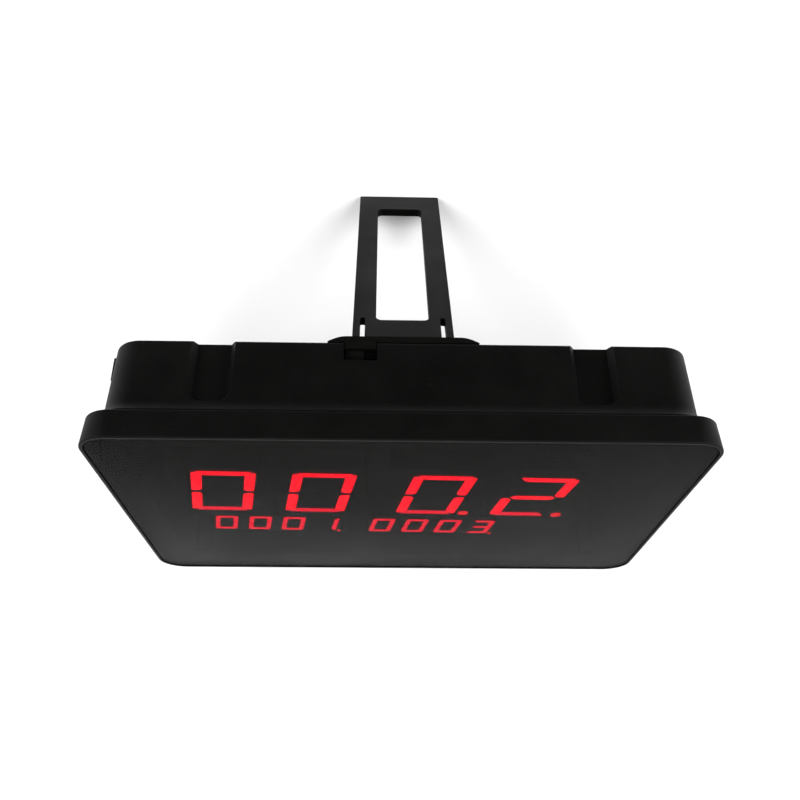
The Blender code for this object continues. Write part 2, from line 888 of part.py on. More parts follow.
def make_switch():
    """Snap-in rocker switch in the left wall: a flanged body and a tilting rocker."""
    flange_y = switch_y - switch_body_length / 2 - switch_flange
    wall_outer = -body_side(flange_y) - gap / 2
    body_back = wall_outer + switch_depth
    half_length = switch_body_length / 2
    half_height = switch_body_height / 2
    body = box(
        (wall_outer - switch_flange / 2, switch_y - half_length, switch_level - half_height),
        (body_back, switch_y + half_length, switch_level + half_height),
    )
    flange = box(
        (wall_outer - switch_flange, flange_y, switch_level - half_height - switch_flange),
        (wall_outer, switch_y + half_length + switch_flange, switch_level + half_height + switch_flange),
    )
    join(body, flange)
    terminal_x = body_back + terminal_size[0] / 2 - terminal_overlap
    for side in (-1, 1):
        place = (terminal_x, switch_y, switch_level + side * terminal_offset)
        join(body, block(place, terminal_size))
    well_length = half_length - switch_wall
    well_height = half_height - switch_wall
    well_floor_x = wall_outer + switch_well_depth
    cut(
        body,
        box(
            (wall_outer - 2 * switch_flange, switch_y - well_length, switch_level - well_height),
            (well_floor_x, switch_y + well_length, switch_level + well_height),
        ),
    )
    finish(body, "switch_body", switch_finish)

    pivot_x = wall_outer + rocker_pivot_depth
    rocker_axis = add_empty("rocker_axis", (pivot_x, switch_y, switch_level), (0, 0, -rocker_tilt))
    rocker_half = (well_length - gap - rocker_crest * sin(rocker_tilt)) / cos(rocker_tilt)
    root_half = rocker_half * rocker_root_share
    outline = [(rocker_root, -root_half), (rocker_root, root_half), (0, rocker_half)]
    for step in range(rocker_steps + 1):
        across = 1 - 2 * step / rocker_steps
        dish = rocker_dish * (1 - across * across)
        outline.append((dish - rocker_crest, rocker_half * across))
    outline.append((0, -rocker_half))
    height = 2 * (well_height - gap)
    rocker = plate(outline, height, Matrix.Identity(4), rocker_axis)
    finish(rocker, "switch_rocker", switch_finish)
    return body_back + terminal_size[0] - terminal_overlap


def make_jack():
    """Round power inlet on the edge of the board, with its bore through the left wall."""
    jack_y = part_seat + jack_size[1] / 2
    mouth = -body_side(jack_y) + gap
    inner_wall = -body_side(jack_y) + wall + 2 * gap
    jack = box(
        (inner_wall, part_seat, jack_level - jack_size[2] / 2),
        (inner_wall + jack_size[0], part_seat + jack_size[1], jack_level + jack_size[2] / 2),
    )
    barrel_end = (inner_wall + gap, jack_y, jack_level)
    join(jack, rod((mouth, jack_y, jack_level), barrel_end, jack_barrel_radius))
    bore_end = mouth + jack_bore_depth
    bore_start = (mouth - gap, jack_y, jack_level)
    cut(jack, rod(bore_start, (bore_end, jack_y, jack_level), jack_bore_radius, head_sides))
    pin_start = (mouth + jack_pin_setback, jack_y, jack_level)
    join(jack, rod(pin_start, (bore_end + gap, jack_y, jack_level), jack_pin_radius, small_sides))
    finish(jack, "dc_jack", switch_finish)
    return inner_wall + jack_size[0], jack_y


def smooth_path(points, steps=edge_steps):
    """Catmull-Rom path through its own points."""
    path = []
    padded = [points[0]] + points + [points[-1]]
    for before, start, end, after in zip(padded, padded[1:], padded[2:], padded[3:]):
        for step in range(steps):
            t = step / steps
            straight = 2 * start + (end - before) * t
            bend = (2 * before - 5 * start + 4 * end - after) * t**2
            twist = (3 * start - before - 3 * end + after) * t**3
            path.append((straight + bend + twist) / 2)
    path.append(points[-1])
    return path


def make_lead(name, start, end, bends, look):
    """Insulated lead from start to end by way of its bends."""
    start = Vector(start)
    end = Vector(end)
    points = [start]
    points += [start + Vector(offset) for offset in bends[0]]
    points += [end + Vector(offset) for offset in bends[1]]
    points.append(end)
    path = smooth_path(points)
    curve = bpy.data.curves.new(name, "CURVE")
    curve.dimensions = "3D"
    curve.bevel_depth = lead_radius
    curve.bevel_resolution = 1
    curve.use_fill_caps = True
    spline = curve.splines.new("POLY")
    spline.points.add(len(path) - 1)
    for point, place in zip(spline.points, path):
        point.co = (*place, 1)
    lead = bpy.data.objects.new(name, curve)
    lead.parent = case_frame
    timer.objects.link(lead)
    curve.materials.append(make_material(name, look))


def make_leads(terminal_end, jack_end, jack_y):
    """Supply leads between the inlet, the switch and the board."""
    terminal_x = terminal_end + 2 * gap
    lead_x = jack_end + lead_end_gap
    low = switch_level - terminal_offset
    high = switch_level + terminal_offset
    landing_y = part_seat + lead_board_gap
    switch_landing = (terminal_x + switch_lead_landing[0], landing_y, high + switch_lead_landing[1])
    jack_landing = (jack_end + jack_lead_landing[0], landing_y, jack_level + jack_lead_landing[1])
    make_lead(
        "lead_jack_to_switch",
        (lead_x, jack_y, jack_level),
        (terminal_x, switch_y, low),
        jack_to_switch_bends,
        red_lead_finish,
    )
    make_lead(
        "lead_switch_to_board",
        (terminal_x, switch_y, high),
        switch_landing,
        switch_to_board_bends,
        red_lead_finish,
    )
    make_lead(
        "lead_jack_to_board",
        (lead_x, jack_y, jack_level - jack_lead_spacing),
        jack_landing,
        jack_to_board_bends,
        black_lead_finish,
    )


# Fasteners


def make_screw(name, place, head_y, direction, length):
    """Pan-head screw with a cross recess; direction is the way its tip points along Y."""
    x, z = place
    head_end = head_y - direction * screw_head_height
    crown_radius = 0.7 * screw_head_radius
    tip_radius = 0.6 * screw_radius
    screw = rod((x, head_y, z), (x, head_end, z), screw_head_radius, head_sides, crown_radius)
    shank_start = (x, head_y - direction * gap, z)
    shank_end = (x, head_y + direction * length, z)
    join(screw, rod(shank_start, shank_end, screw_radius, small_sides, tip_radius))
    arm = screw_head_radius
    cross = block((x, head_end, z), (arm, 2 * screw_slot_depth, screw_slot_width))
    join(cross, block((x, head_end, z), (screw_slot_width, 2 * screw_slot_depth + gap / 4, arm)))
    cut(screw, cross)
    finish(screw, name, screw_finish)


def make_screws():
    """Case screws from the rear and board screws from the front."""
    seat = shelf_back + post_length + gap + well_floor + gap
    for number, place in enumerate(case_screw_places, 1):
        make_screw(f"case_screw_{number}", place, seat, -1, case_screw_length)
    for number, place in enumerate(board_screw_places, 1):
        make_screw(f"board_screw_{number}", place, board_front - gap, 1, board_screw_length)


def place_on_floor():
    """Lowest point at Z = 0 and the box's middle over the origin."""
    bpy.context.view_layer.update()
    depsgraph = bpy.context.evaluated_depsgraph_get()
    corners = []
    for shape in timer.objects:
        if shape.type not in {"MESH", "CURVE"}:
            continue
        evaluated = shape.evaluated_get(depsgraph)
        mesh = evaluated.to_mesh()
        corners += [evaluated.matrix_world @ vertex.co for vertex in mesh.vertices]
        evaluated.to_mesh_clear()
    low = Vector([min(corner[axis] for corner in corners) for axis in range(3)])
    high = Vector([max(corner[axis] for corner in corners) for axis in range(3)])
    middle = (low + high) / 2
    case_frame.location = (-middle.x, -middle.y, -low.z)
    bpy.context.view_layer.update()


make_bezel()
make_lens()
make_housing()
make_bracket()
make_leg()
make_display()
make_board()
make_board_parts()
terminal_end_x = make_switch()
jack_end_x, jack_centre_y = make_jack()
make_leads(terminal_end_x, jack_end_x, jack_centre_y)
make_screws()
place_on_floor()
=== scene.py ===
from math import cos, pi, radians, sin, tan

import bmesh
import bpy
from mathutils import Matrix, Vector
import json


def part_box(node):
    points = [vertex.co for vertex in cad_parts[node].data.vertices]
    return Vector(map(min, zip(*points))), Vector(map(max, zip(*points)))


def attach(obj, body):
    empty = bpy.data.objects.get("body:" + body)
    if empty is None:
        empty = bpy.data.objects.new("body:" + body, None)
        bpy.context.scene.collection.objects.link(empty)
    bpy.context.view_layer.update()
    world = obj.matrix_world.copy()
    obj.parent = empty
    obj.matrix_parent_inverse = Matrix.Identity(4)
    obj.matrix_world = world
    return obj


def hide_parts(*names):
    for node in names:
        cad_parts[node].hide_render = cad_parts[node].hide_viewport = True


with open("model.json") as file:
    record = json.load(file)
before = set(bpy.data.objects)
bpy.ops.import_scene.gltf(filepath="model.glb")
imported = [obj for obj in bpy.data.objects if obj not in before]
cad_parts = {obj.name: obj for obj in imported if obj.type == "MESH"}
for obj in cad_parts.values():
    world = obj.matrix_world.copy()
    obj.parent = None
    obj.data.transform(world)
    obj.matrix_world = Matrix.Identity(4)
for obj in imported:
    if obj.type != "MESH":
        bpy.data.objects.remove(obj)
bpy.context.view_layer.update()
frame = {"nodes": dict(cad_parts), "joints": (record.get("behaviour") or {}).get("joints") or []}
nodes = frame["nodes"]
joints = {joint["name"]: joint for joint in frame["joints"]}
bpy.context.scene.view_settings.view_transform = "Standard"
print("frame loaded:", len(nodes), "nodes")


# The case's own frame: X right, Y to the rear, Z up, origin in the middle of the front face.

panel = {"thickness": 0.0020, "setback": 0.0003, "edge": 0.0002}

alongX = Vector((1, 0, 0))
alongY = Vector((0, 1, 0))
caseUp = Vector(joints["switch_tilt"]["axis"]).normalized()
caseBack = caseUp.cross(alongX).normalized()
lensLow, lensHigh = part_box("display_lens")
lensMiddle = (Vector(lensLow) + Vector(lensHigh)) / 2
faceMiddle = lensMiddle - caseBack * (panel["setback"] + panel["thickness"] / 2)
caseMatrix = Matrix.Translation(faceMiddle) @ Matrix(
    ((1, caseBack.x, caseUp.x, 0), (0, caseBack.y, caseUp.y, 0), (0, caseBack.z, caseUp.z, 0), (0, 0, 0, 1))
)
toCase = caseMatrix.inverted()


def caseBox(name):
    points = [toCase @ vertex.co for vertex in nodes[name].data.vertices]
    low = Vector([min(point[axis] for point in points) for axis in range(3)])
    high = Vector([max(point[axis] for point in points) for axis in range(3)])
    return low, high


def caseMid(name):
    low, high = caseBox(name)
    return (low + high) / 2


def middleAt(name, y):
    middle = caseMid(name)
    return middle.x, y, middle.z


# Mesh tools

cleaning = {"weld": 0.000002, "flat": radians(0.3)}
softCorner = {"share": 0.45, "steps": 3}


def addObject(name, data):
    piece = bpy.data.objects.new(name, data)
    bpy.context.scene.collection.objects.link(piece)
    return piece


def newObject(name, bm):
    mesh = bpy.data.meshes.new(name)
    bm.to_mesh(mesh)
    bm.free()
    return addObject(name, mesh)


def loft(name, rings, closed=False):
    bm = bmesh.new()
    loops = [[bm.verts.new(point) for point in ring] for ring in rings]
    pairs = list(zip(loops, loops[1:]))
    if closed:
        pairs.append((loops[-1], loops[0]))
    for near, far in pairs:
        for index in range(len(near)):
            after = (index + 1) % len(near)
            bm.faces.new((near[index], near[after], far[after], far[index]))
    if not closed:
        bm.faces.new(loops[0])
        bm.faces.new(loops[-1])
    bmesh.ops.recalc_face_normals(bm, faces=bm.faces)
    return newObject(name, bm)


def prism(name, outline, axis, low, high):
    # an outline of (first, second) points swept along X, Y or Z from low to high
    places = {
        "X": lambda first, second, along: (along, first, second),
        "Y": lambda first, second, along: (first, along, second),
        "Z": lambda first, second, along: (first, second, along),
    }
    place = places[axis]
    return loft(name, [[Vector(place(first, second, along)) for first, second in outline] for along in (low, high)])


def boxPiece(name, low, high):
    bm = bmesh.new()
    bmesh.ops.create_cube(bm, size=1.0)
    low = Vector(low)
    high = Vector(high)
    bmesh.ops.scale(bm, vec=high - low, verts=bm.verts)
    bmesh.ops.translate(bm, vec=(low + high) / 2, verts=bm.verts)
    return newObject(name, bm)


def turned(name, profile, centre, axis, sides=48):
    # a profile of (radius, distance) points turned about an axis through centre; ends are capped
    centre = Vector(centre)
    axis = Vector(axis).normalized()
    first = axis.orthogonal().normalized()
    second = axis.cross(first)
    rings = []
    for radius, along in profile:
        ring = []
        for side in range(sides):
            angle = 2 * pi * side / sides
            ring.append(centre + axis * along + (first * cos(angle) + second * sin(angle)) * radius)
        rings.append(ring)
    return loft(name, rings)


def rod(name, radius, start, end, centre, axis, sides):
    return turned(name, [(radius, start), (radius, end)], centre, axis, sides)


def settle(piece):
    # the result of the modifiers becomes the mesh
    depsgraph = bpy.context.evaluated_depsgraph_get()
    mesh = bpy.data.meshes.new_from_object(piece.evaluated_get(depsgraph))
    old = piece.data
    piece.modifiers.clear()
    piece.data = mesh
    bpy.data.meshes.remove(old)
    return piece


def combine(piece, operation, tools):
    for tool in tools:
        modifier = piece.modifiers.new(operation, "BOOLEAN")
        modifier.operation = operation
        modifier.solver = "EXACT"
        modifier.object = tool
    settle(piece)
    for tool in tools:
        bpy.data.objects.remove(tool, do_unlink=True)
    return piece


def join(piece, *tools):
    return combine(piece, "UNION", tools)


def cut(piece, *tools):
    return combine(piece, "DIFFERENCE", tools)


def roundEdges(piece, width, segments=3, angle=28):
    bm = bmesh.new()
    bm.from_mesh(piece.data)
    bmesh.ops.remove_doubles(bm, verts=bm.verts, dist=cleaning["weld"])
    bmesh.ops.dissolve_limit(bm, angle_limit=cleaning["flat"], verts=bm.verts, edges=bm.edges)
    bm.to_mesh(piece.data)
    bm.free()
    modifier = piece.modifiers.new("soft edges", "BEVEL")
    modifier.width = width
    modifier.segments = segments
    modifier.limit_method = "ANGLE"
    modifier.angle_limit = radians(angle)
    modifier.miter_outer = "MITER_ARC"
    modifier.harden_normals = True
    piece.data.shade_smooth()
    return settle(piece)


def finishPiece(piece, material, body, replaced=(), smooth=None, place=caseMatrix):
    # into the row frame, with its finish, on its body
    if smooth is not None:
        piece.data.shade_smooth()
        piece.data.set_sharp_from_angle(angle=radians(smooth))
    piece.data.transform(place)
    piece.data.update()
    piece.data.materials.clear()
    piece.data.materials.append(material)
    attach(piece, body)
    if replaced:
        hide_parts(*replaced)
    return piece


def roundedRing(width, height, radius, y, steps=18):
    ring = []
    for corner, (side, level) in enumerate(((1, 1), (-1, 1), (-1, -1), (1, -1))):
        centreX = side * (width / 2 - radius)
        centreZ = level * (height / 2 - radius)
        for step in range(steps + 1):
            angle = pi / 2 * (corner + step / steps)
            ring.append(Vector((centreX + radius * cos(angle), y, centreZ + radius * sin(angle))))
    return ring


def roundedOutline(width, start, end, radius, steps=6):
    ring = roundedRing(width, end - start, radius, 0, steps)
    return [(point.x, point.z + (start + end) / 2) for point in ring]


def quarter(steps):
    # a quarter turn, as pairs of one less its sine and one less its cosine
    angles = [pi / 2 * step / steps for step in range(steps + 1)]
    return [(1 - sin(angle), 1 - cos(angle)) for angle in angles]


def softCorners(outline, radius):
    # each corner becomes a short arc
    points = []
    for index, corner in enumerate(outline):
        corner = Vector(corner)
        ends = []
        for neighbour in (outline[index - 1], outline[(index + 1) % len(outline)]):
            side = Vector(neighbour) - corner
            ends.append(corner + side.normalized() * min(radius, side.length * softCorner["share"]))
        start, end = ends
        for step in range(softCorner["steps"] + 1):
            t = step / softCorner["steps"]
            points.append(start * (1 - t) ** 2 + corner * 2 * t * (1 - t) + end * t**2)
    return [(point.x, point.y) for point in points]


# Shader tools

blotchRange = (0.3, 0.7)
tracks = {"Scale": 260.0, "Mortar Size": 0.012, "Brick Width": 1.9, "Row Height": 0.42}


def setInputs(node, values):
    for key, value in values.items():
        node.inputs[key].default_value = value


def addNode(tree, kind, values=None, **settings):
    node = tree.nodes.new(kind)
    for key, value in settings.items():
        setattr(node, key, value)
    setInputs(node, values or {})
    return node


def link(source, output, target, socket):
    source.id_data.links.new(source.outputs[output], target.inputs[socket])


def startMaterial(name):
    material = bpy.data.materials.new(name)
    material.use_nodes = True
    tree = material.node_tree
    shader = tree.nodes["Principled BSDF"]
    coords = addNode(tree, "ShaderNodeTexCoord")
    return material, tree, shader, coords.outputs["Object"]


def newGroup(name, amounts, outputs):
    # a shader group that takes a position and some amounts, and gives values
    group = bpy.data.node_groups.new(name, "ShaderNodeTree")
    group.interface.new_socket(name="Vector", in_out="INPUT", socket_type="NodeSocketVector")
    for label, value in amounts.items():
        socket = group.interface.new_socket(name=label, in_out="INPUT", socket_type="NodeSocketFloat")
        socket.default_value = value
    for label in outputs:
        group.interface.new_socket(name=label, in_out="OUTPUT", socket_type="NodeSocketFloat")
    return group, group.nodes.new("NodeGroupInput"), group.nodes.new("NodeGroupOutput")


def useGroup(tree, group, coords, values):
    node = tree.nodes.new("ShaderNodeGroup")
    node.node_tree = group
    tree.links.new(coords, node.inputs["Vector"])
    setInputs(node, values)
    return node


def makeGrainGroup():
    # spark-eroded mould grain: a fine cell pattern over a softer one, with slow blotches
    group, entry, leave = newGroup("mouldGrain", {"Grain Scale": 2600.0, "Blotch Scale": 60.0}, ["Height", "Blotch"])
    cells = addNode(group, "ShaderNodeTexVoronoi", feature="SMOOTH_F1")
    fine = addNode(group, "ShaderNodeTexNoise", {"Detail": 3.0, "Roughness": 0.6})
    slow = addNode(group, "ShaderNodeTexNoise", {"Detail": 4.0, "Roughness": 0.55})
    height = addNode(group, "ShaderNodeMath", {1: 0.5}, operation="MULTIPLY_ADD")
    half = addNode(group, "ShaderNodeMath", {1: 0.5}, operation="MULTIPLY")
    for node, scale in ((cells, "Grain Scale"), (fine, "Grain Scale"), (slow, "Blotch Scale")):
        link(entry, "Vector", node, "Vector")
        link(entry, scale, node, "Scale")
    link(fine, "Fac", half, 0)
    link(cells, "Distance", height, 0)
    link(half, 0, height, 2)
    link(height, 0, leave, "Height")
    link(slow, "Fac", leave, "Blotch")
    return group


def makeDustGroup():
    # specks and a faint film that settle on what faces upwards
    group, entry, leave = newGroup("settledDust", {"Speck Scale": 900.0, "Amount": 0.5}, ["Mask"])
    geometry = addNode(group, "ShaderNodeNewGeometry")
    split = addNode(group, "ShaderNodeSeparateXYZ")
    upward = addNode(group, "ShaderNodeMapRange", {"From Min": 0.1, "From Max": 0.95})
    specks = addNode(group, "ShaderNodeTexNoise", {"Detail": 2.0, "Roughness": 0.5})
    film = addNode(group, "ShaderNodeTexNoise", {"Scale": 45.0, "Detail": 5.0, "Roughness": 0.6})
    sharp = addNode(group, "ShaderNodeMapRange", {"From Min": 0.66, "From Max": 0.74})
    faint = addNode(group, "ShaderNodeMapRange", {"From Min": 0.45, "From Max": 0.8, "To Max": 0.25})
    either = addNode(group, "ShaderNodeMath", operation="MAXIMUM")
    shade = addNode(group, "ShaderNodeMath", operation="MULTIPLY")
    final = addNode(group, "ShaderNodeMath", operation="MULTIPLY")
    link(geometry, "Normal", split, 0)
    link(split, "Z", upward, "Value")
    for node in (specks, film):
        link(entry, "Vector", node, "Vector")
    link(entry, "Speck Scale", specks, "Scale")
    link(specks, "Fac", sharp, "Value")
    link(film, "Fac", faint, "Value")
    link(sharp, "Result", either, 0)
    link(faint, "Result", either, 1)
    link(either, 0, shade, 0)
    link(upward, "Result", shade, 1)
    link(shade, 0, final, 0)
    link(entry, "Amount", final, 1)
    link(final, 0, leave, "Mask")
    return group


mouldGrain = makeGrainGroup()
settledDust = makeDustGroup()


def mixColours(tree, mask, low, high):
    # low is a colour, or the socket that gives one
    mix = addNode(tree, "ShaderNodeMix", {7: (*high, 1)}, data_type="RGBA")
    if isinstance(low, tuple):
        mix.inputs[6].default_value = (*low, 1)
    else:
        tree.links.new(low, mix.inputs[6])
    tree.links.new(mask, mix.inputs[0])
    return mix.outputs[2]


def mapValue(tree, value, low, high, fromLow=0.0, fromHigh=1.0):
    limits = {"From Min": fromLow, "From Max": fromHigh, "To Min": low, "To Max": high}
    node = addNode(tree, "ShaderNodeMapRange", limits)
    tree.links.new(value, node.inputs["Value"])
    return node.outputs["Result"]


def grained(name, dark, light, rough, scales, bump, values, dust=None, trace=None):
    # slow blotches in colour and gloss under a fine grain; dust settles on it or raised tracks cross it where given
    material, tree, shader, coords = startMaterial(name)
    grain = useGroup(tree, mouldGrain, coords, {"Grain Scale": scales[0], "Blotch Scale": scales[1]})
    blotch = grain.outputs["Blotch"]
    height = grain.outputs["Height"]
    colour = mixColours(tree, blotch, dark, light)
    if dust:
        speckScale, amount, dustColour = dust
        settled = useGroup(tree, settledDust, coords, {"Speck Scale": speckScale, "Amount": amount})
        colour = mixColours(tree, settled.outputs["Mask"], colour, dustColour)
    if trace:
        brick = addNode(tree, "ShaderNodeTexBrick", tracks, offset=0.37)
        tree.links.new(coords, brick.inputs["Vector"])
        height = brick.outputs["Fac"]
        colour = mixColours(tree, height, colour, trace)
    tree.links.new(colour, shader.inputs["Base Color"])
    tree.links.new(mapValue(tree, blotch, *rough, *blotchRange), shader.inputs["Roughness"])
    relief = addNode(tree, "ShaderNodeBump", {"Strength": bump[0], "Distance": bump[1]})
    tree.links.new(height, relief.inputs["Height"])
    link(relief, "Normal", shader, "Normal")
    setInputs(shader, values)
    return material


def mouldedPlastic(name, dark, light, roughness, grainScale, grainDepth, specular):
    return grained(
        name, dark, light, (roughness - 0.05, roughness + 0.07), (grainScale, 55.0), (0.35, grainDepth),
        {"Specular IOR Level": specular}, dust=(1400.0, 0.08, (0.10, 0.097, 0.09)),
    )


def plainFinish(name, dark, light, roughness, metallic=0.0, scale=700.0, specular=0.5):
    # small inner parts: mottled colour, uneven gloss and a little surface grain
    return grained(
        name, dark, light, (roughness - 0.08, roughness + 0.08), (scale * 3, scale / 5), (0.3, 0.00002),
        {"Metallic": metallic, "Specular IOR Level": specular},
    )


def litResin(name, colour, strength, dim):
    # lit diffusing resin, slightly mottled
    material, tree, shader, coords = startMaterial(name)
    noise = addNode(tree, "ShaderNodeTexNoise", {"Scale": 420.0, "Detail": 3.0})
    tree.links.new(coords, noise.inputs["Vector"])
    mottle = mapValue(tree, noise.outputs["Fac"], 0, 1, *blotchRange)
    tree.links.new(mixColours(tree, mottle, dim, colour), shader.inputs["Emission Color"])
    tree.links.new(mapValue(tree, noise.outputs["Fac"], 0.35, 0.5), shader.inputs["Roughness"])
    setInputs(shader, {"Emission Strength": strength, "Base Color": (0.35, 0.02, 0.02, 1)})
    return material


casePlastic = mouldedPlastic(
    "casePlastic", (0.0010, 0.0010, 0.0009), (0.0017, 0.0016, 0.0014), 0.52, 2600.0, 0.00004, 0.08,
)
standPlastic = mouldedPlastic(
    "standPlastic", (0.0016, 0.0016, 0.0014), (0.0024, 0.0023, 0.0020), 0.48, 3200.0, 0.00003, 0.07,
)
switchPlastic = mouldedPlastic(
    "switchPlastic", (0.0022, 0.0022, 0.0022), (0.0032, 0.0032, 0.0032), 0.40, 4200.0, 0.00002, 0.15,
)
panelSmoke = grained(
    "smokedPanel", (0.0017, 0.0016, 0.0014), (0.0024, 0.0023, 0.0020), (0.30, 0.38), (3800.0, 24.0), (0.25, 0.00002),
    {"Specular IOR Level": 0.06, "IOR": 1.25, "Alpha": 0.70}, dust=(1100.0, 0.10, (0.09, 0.085, 0.08)),
)
litRed = litResin("litRed", (1.0, 0.0, 0.012), 15.0, (0.90, 0.0, 0.010))
litRedBar = litResin("litRedBar", (1.0, 0.001, 0.030), 8.6, (0.90, 0.0, 0.022))
litRedSmall = litResin("litRedSmall", (1.0, 0.0, 0.028), 9.6, (0.84, 0.0, 0.020))
litRedDim = litResin("litRedDim", (1.0, 0.004, 0.016), 11.0, (0.60, 0.0, 0.008))
moduleFace = plainFinish("moduleFace", (0.0045, 0.0045, 0.0048), (0.0065, 0.0065, 0.0068), 0.6, specular=0.2)
darkSegment = plainFinish("darkSegment", (0.0075, 0.0060, 0.0060), (0.0095, 0.0075, 0.0074), 0.5, specular=0.2)
boardLacquer = grained(
    "boardLacquer", (0.0030, 0.0100, 0.0055), (0.0050, 0.0150, 0.0085), (0.30, 0.45), (1800.0, 70.0), (0.4, 0.00003),
    {"Specular IOR Level": 0.3}, trace=(0.008, 0.028, 0.014),
)
chipResin = plainFinish("chipResin", (0.010, 0.010, 0.011), (0.018, 0.018, 0.019), 0.55)
brightCan = plainFinish("brightCan", (0.50, 0.50, 0.51), (0.64, 0.64, 0.65), 0.28, 1.0)
pinMetal = plainFinish("pinMetal", (0.46, 0.45, 0.43), (0.62, 0.61, 0.58), 0.34, 1.0, 1200.0)
solderTin = plainFinish("solderTin", (0.36, 0.37, 0.38), (0.52, 0.52, 0.53), 0.30, 1.0, 1500.0)
screwSteel = plainFinish("screwSteel", (0.34, 0.34, 0.35), (0.50, 0.49, 0.48), 0.34, 1.0, 900.0)
sleeveBlue = plainFinish("sleeveBlue", (0.012, 0.014, 0.045), (0.020, 0.022, 0.070), 0.32)
receiverResin = plainFinish("receiverResin", (0.020, 0.006, 0.006), (0.030, 0.010, 0.010), 0.18)
redCover = plainFinish("redCover", (0.30, 0.008, 0.008), (0.40, 0.014, 0.012), 0.36)
blackCover = plainFinish("blackCover", (0.008, 0.008, 0.008), (0.013, 0.013, 0.013), 0.36)
print("materials made:", len(bpy.data.materials))


# Front bezel and panel

bezel = {
    "cornerRadius": 0.0105, "edge": 0.0006, "rim": 0.0013, "rimEdge": 0.00015,
    "shelfWidth": 0.0110, "shelfThickness": 0.0020, "clearance": 0.0003, "spigotThickness": 0.0015,
    "spigotLength": 0.0038, "flangeDepth": 0.0101, "postRadius": 0.0034, "leastRadius": 0.0008,
    "holeRadius": 0.00155, "holeLength": 0.0300,
}
fours = range(1, 5)
bezelLow, bezelHigh = caseBox("front_bezel")
faceWidth = bezelHigh.x - bezelLow.x
faceHeight = bezelHigh.z - bezelLow.z
housingLow, housingHigh = caseBox("rear_housing")
bracketLow, bracketHigh = caseBox("stand_bracket")
lensCaseLow, lensCaseHigh = caseBox("display_lens")
caseDepth = housingHigh.y
housingFront = housingLow.y
body = {
    "inset": 0.0046, "draft": radians(2.1), "cornerRadius": 0.0104, "lip": 0.0005, "coveDepth": 0.0055,
    "coveRise": 0.0030, "rearEdge": 0.0010, "wall": 0.0022, "flangeDraft": radians(3.4),
}
bodyStart = housingFront + body["lip"] + body["coveDepth"]
spigotEnd = bezel["flangeDepth"] + bezel["spigotLength"]


def faceRing(inset, y, cornerRadius=bezel["cornerRadius"]):
    radius = max(cornerRadius - inset, bezel["leastRadius"])
    return roundedRing(faceWidth - 2 * inset, faceHeight - 2 * inset, radius, y)


def bodyRing(inset, y):
    return faceRing(inset, y, body["cornerRadius"] + body["inset"])


def bodyInsetAt(y):
    return body["inset"] + (y - bodyStart) * tan(body["draft"])


def bodyTop(y):
    return faceHeight / 2 - bodyInsetAt(y)


def makeBezel():
    edge = bezel["edge"]
    rim = bezel["rim"]
    rimEdge = bezel["rimEdge"]
    gap = bezel["clearance"]
    depth = bezel["flangeDepth"]
    profile = [(edge * rise, edge * run) for rise, run in quarter(6)]
    rearInset = depth * tan(body["flangeDraft"])
    for rise, run in quarter(6):
        profile.append((rearInset + edge * run, depth - edge * rise))
    spigotOuter = body["inset"] + body["wall"] + gap
    spigotInner = spigotOuter + bezel["spigotThickness"]
    shelfFront = lensCaseHigh.y + gap
    shelfBack = shelfFront + bezel["shelfThickness"]
    shelfInset = rim + bezel["shelfWidth"]
    rings = [faceRing(inset, y) for inset, y in profile]
    spigot = [(spigotOuter, depth), (spigotOuter, spigotEnd), (spigotInner, spigotEnd), (spigotInner, shelfBack)]
    rings += [bodyRing(inset, y) for inset, y in spigot]
    rings += [faceRing(shelfInset, shelfBack), faceRing(shelfInset, shelfFront), faceRing(rim, shelfFront)]
    for rise, run in quarter(3):
        rings.append(faceRing(rim - rimEdge * run, rimEdge * rise))
    piece = loft("bezelShell", rings, closed=True)
    postStart = shelfBack - bezel["shelfThickness"] / 2
    postLength = bezelHigh.y - postStart
    posts = []
    bores = []
    for number in fours:
        screw = f"case_screw_{number}"
        posts.append(rod("post", bezel["postRadius"], 0, postLength, middleAt(screw, postStart), alongY, 32))
        start = middleAt(screw, shelfBack + gap)
        bores.append(rod("bore", bezel["holeRadius"], 0, bezel["holeLength"], start, alongY, 24))
    join(piece, *posts)
    cut(piece, *bores)
    finishPiece(piece, casePlastic, "case", ["front_bezel"], smooth=32)


def makePanel():
    edge = panel["edge"]
    inset = lensCaseLow.x - bezelLow.x
    rings = []
    for rise, run in quarter(4):
        rings.append(faceRing(inset + edge * rise, lensCaseLow.y + edge * run))
    for rise, run in quarter(4):
        rings.append(faceRing(inset + edge * run, lensCaseHigh.y - edge * rise))
    piece = loft("smokedPanel", rings)
    finishPiece(piece, panelSmoke, "case", ["display_lens"], smooth=32)


makeBezel()
makePanel()
print("front made")


# Rear housing

groove = {
    "centre": 0.0629, "floorWidth": 0.0110, "depth": 0.0028, "sideRun": 0.0018, "start": 0.0151, "frontRadius": 0.0022,
    "above": 0.0010, "runOut": 0.0040,
}
hinge = {"openAngle": radians(65), "clearance": 0.00035}
hingePoint = toCase @ Vector(joints["stand_hinge"]["pos_m"])
leg = {
    "length": 0.1218, "thickness": 0.0032, "tipRadius": 0.0008, "windowWidth": 0.0188, "windowStart": 0.0160,
    "windowEnd": 0.1085, "windowRadius": 0.0021, "earWidth": 0.0025, "slotWidth": 0.0017, "slotEnd": 0.0175,
    "slotRadius": 0.0006, "pinRadius": 0.00125, "pinLength": 0.0020, "pinChamfer": 0.0004,
}
legLow, legHigh = caseBox("stand_leg")
legWidth = legHigh.x - legLow.x - 2 * leg["pinLength"]
bracket = {
    "blockDepth": 0.0045, "blockWidth": 0.0420, "openingHeight": 0.0100, "rearWidth": 0.0424, "drop": 0.0005,
    "clearance": 0.0003, "cornerSoft": 0.0022, "sweepLength": 0.0134, "sweepDepth": 0.0201,
}
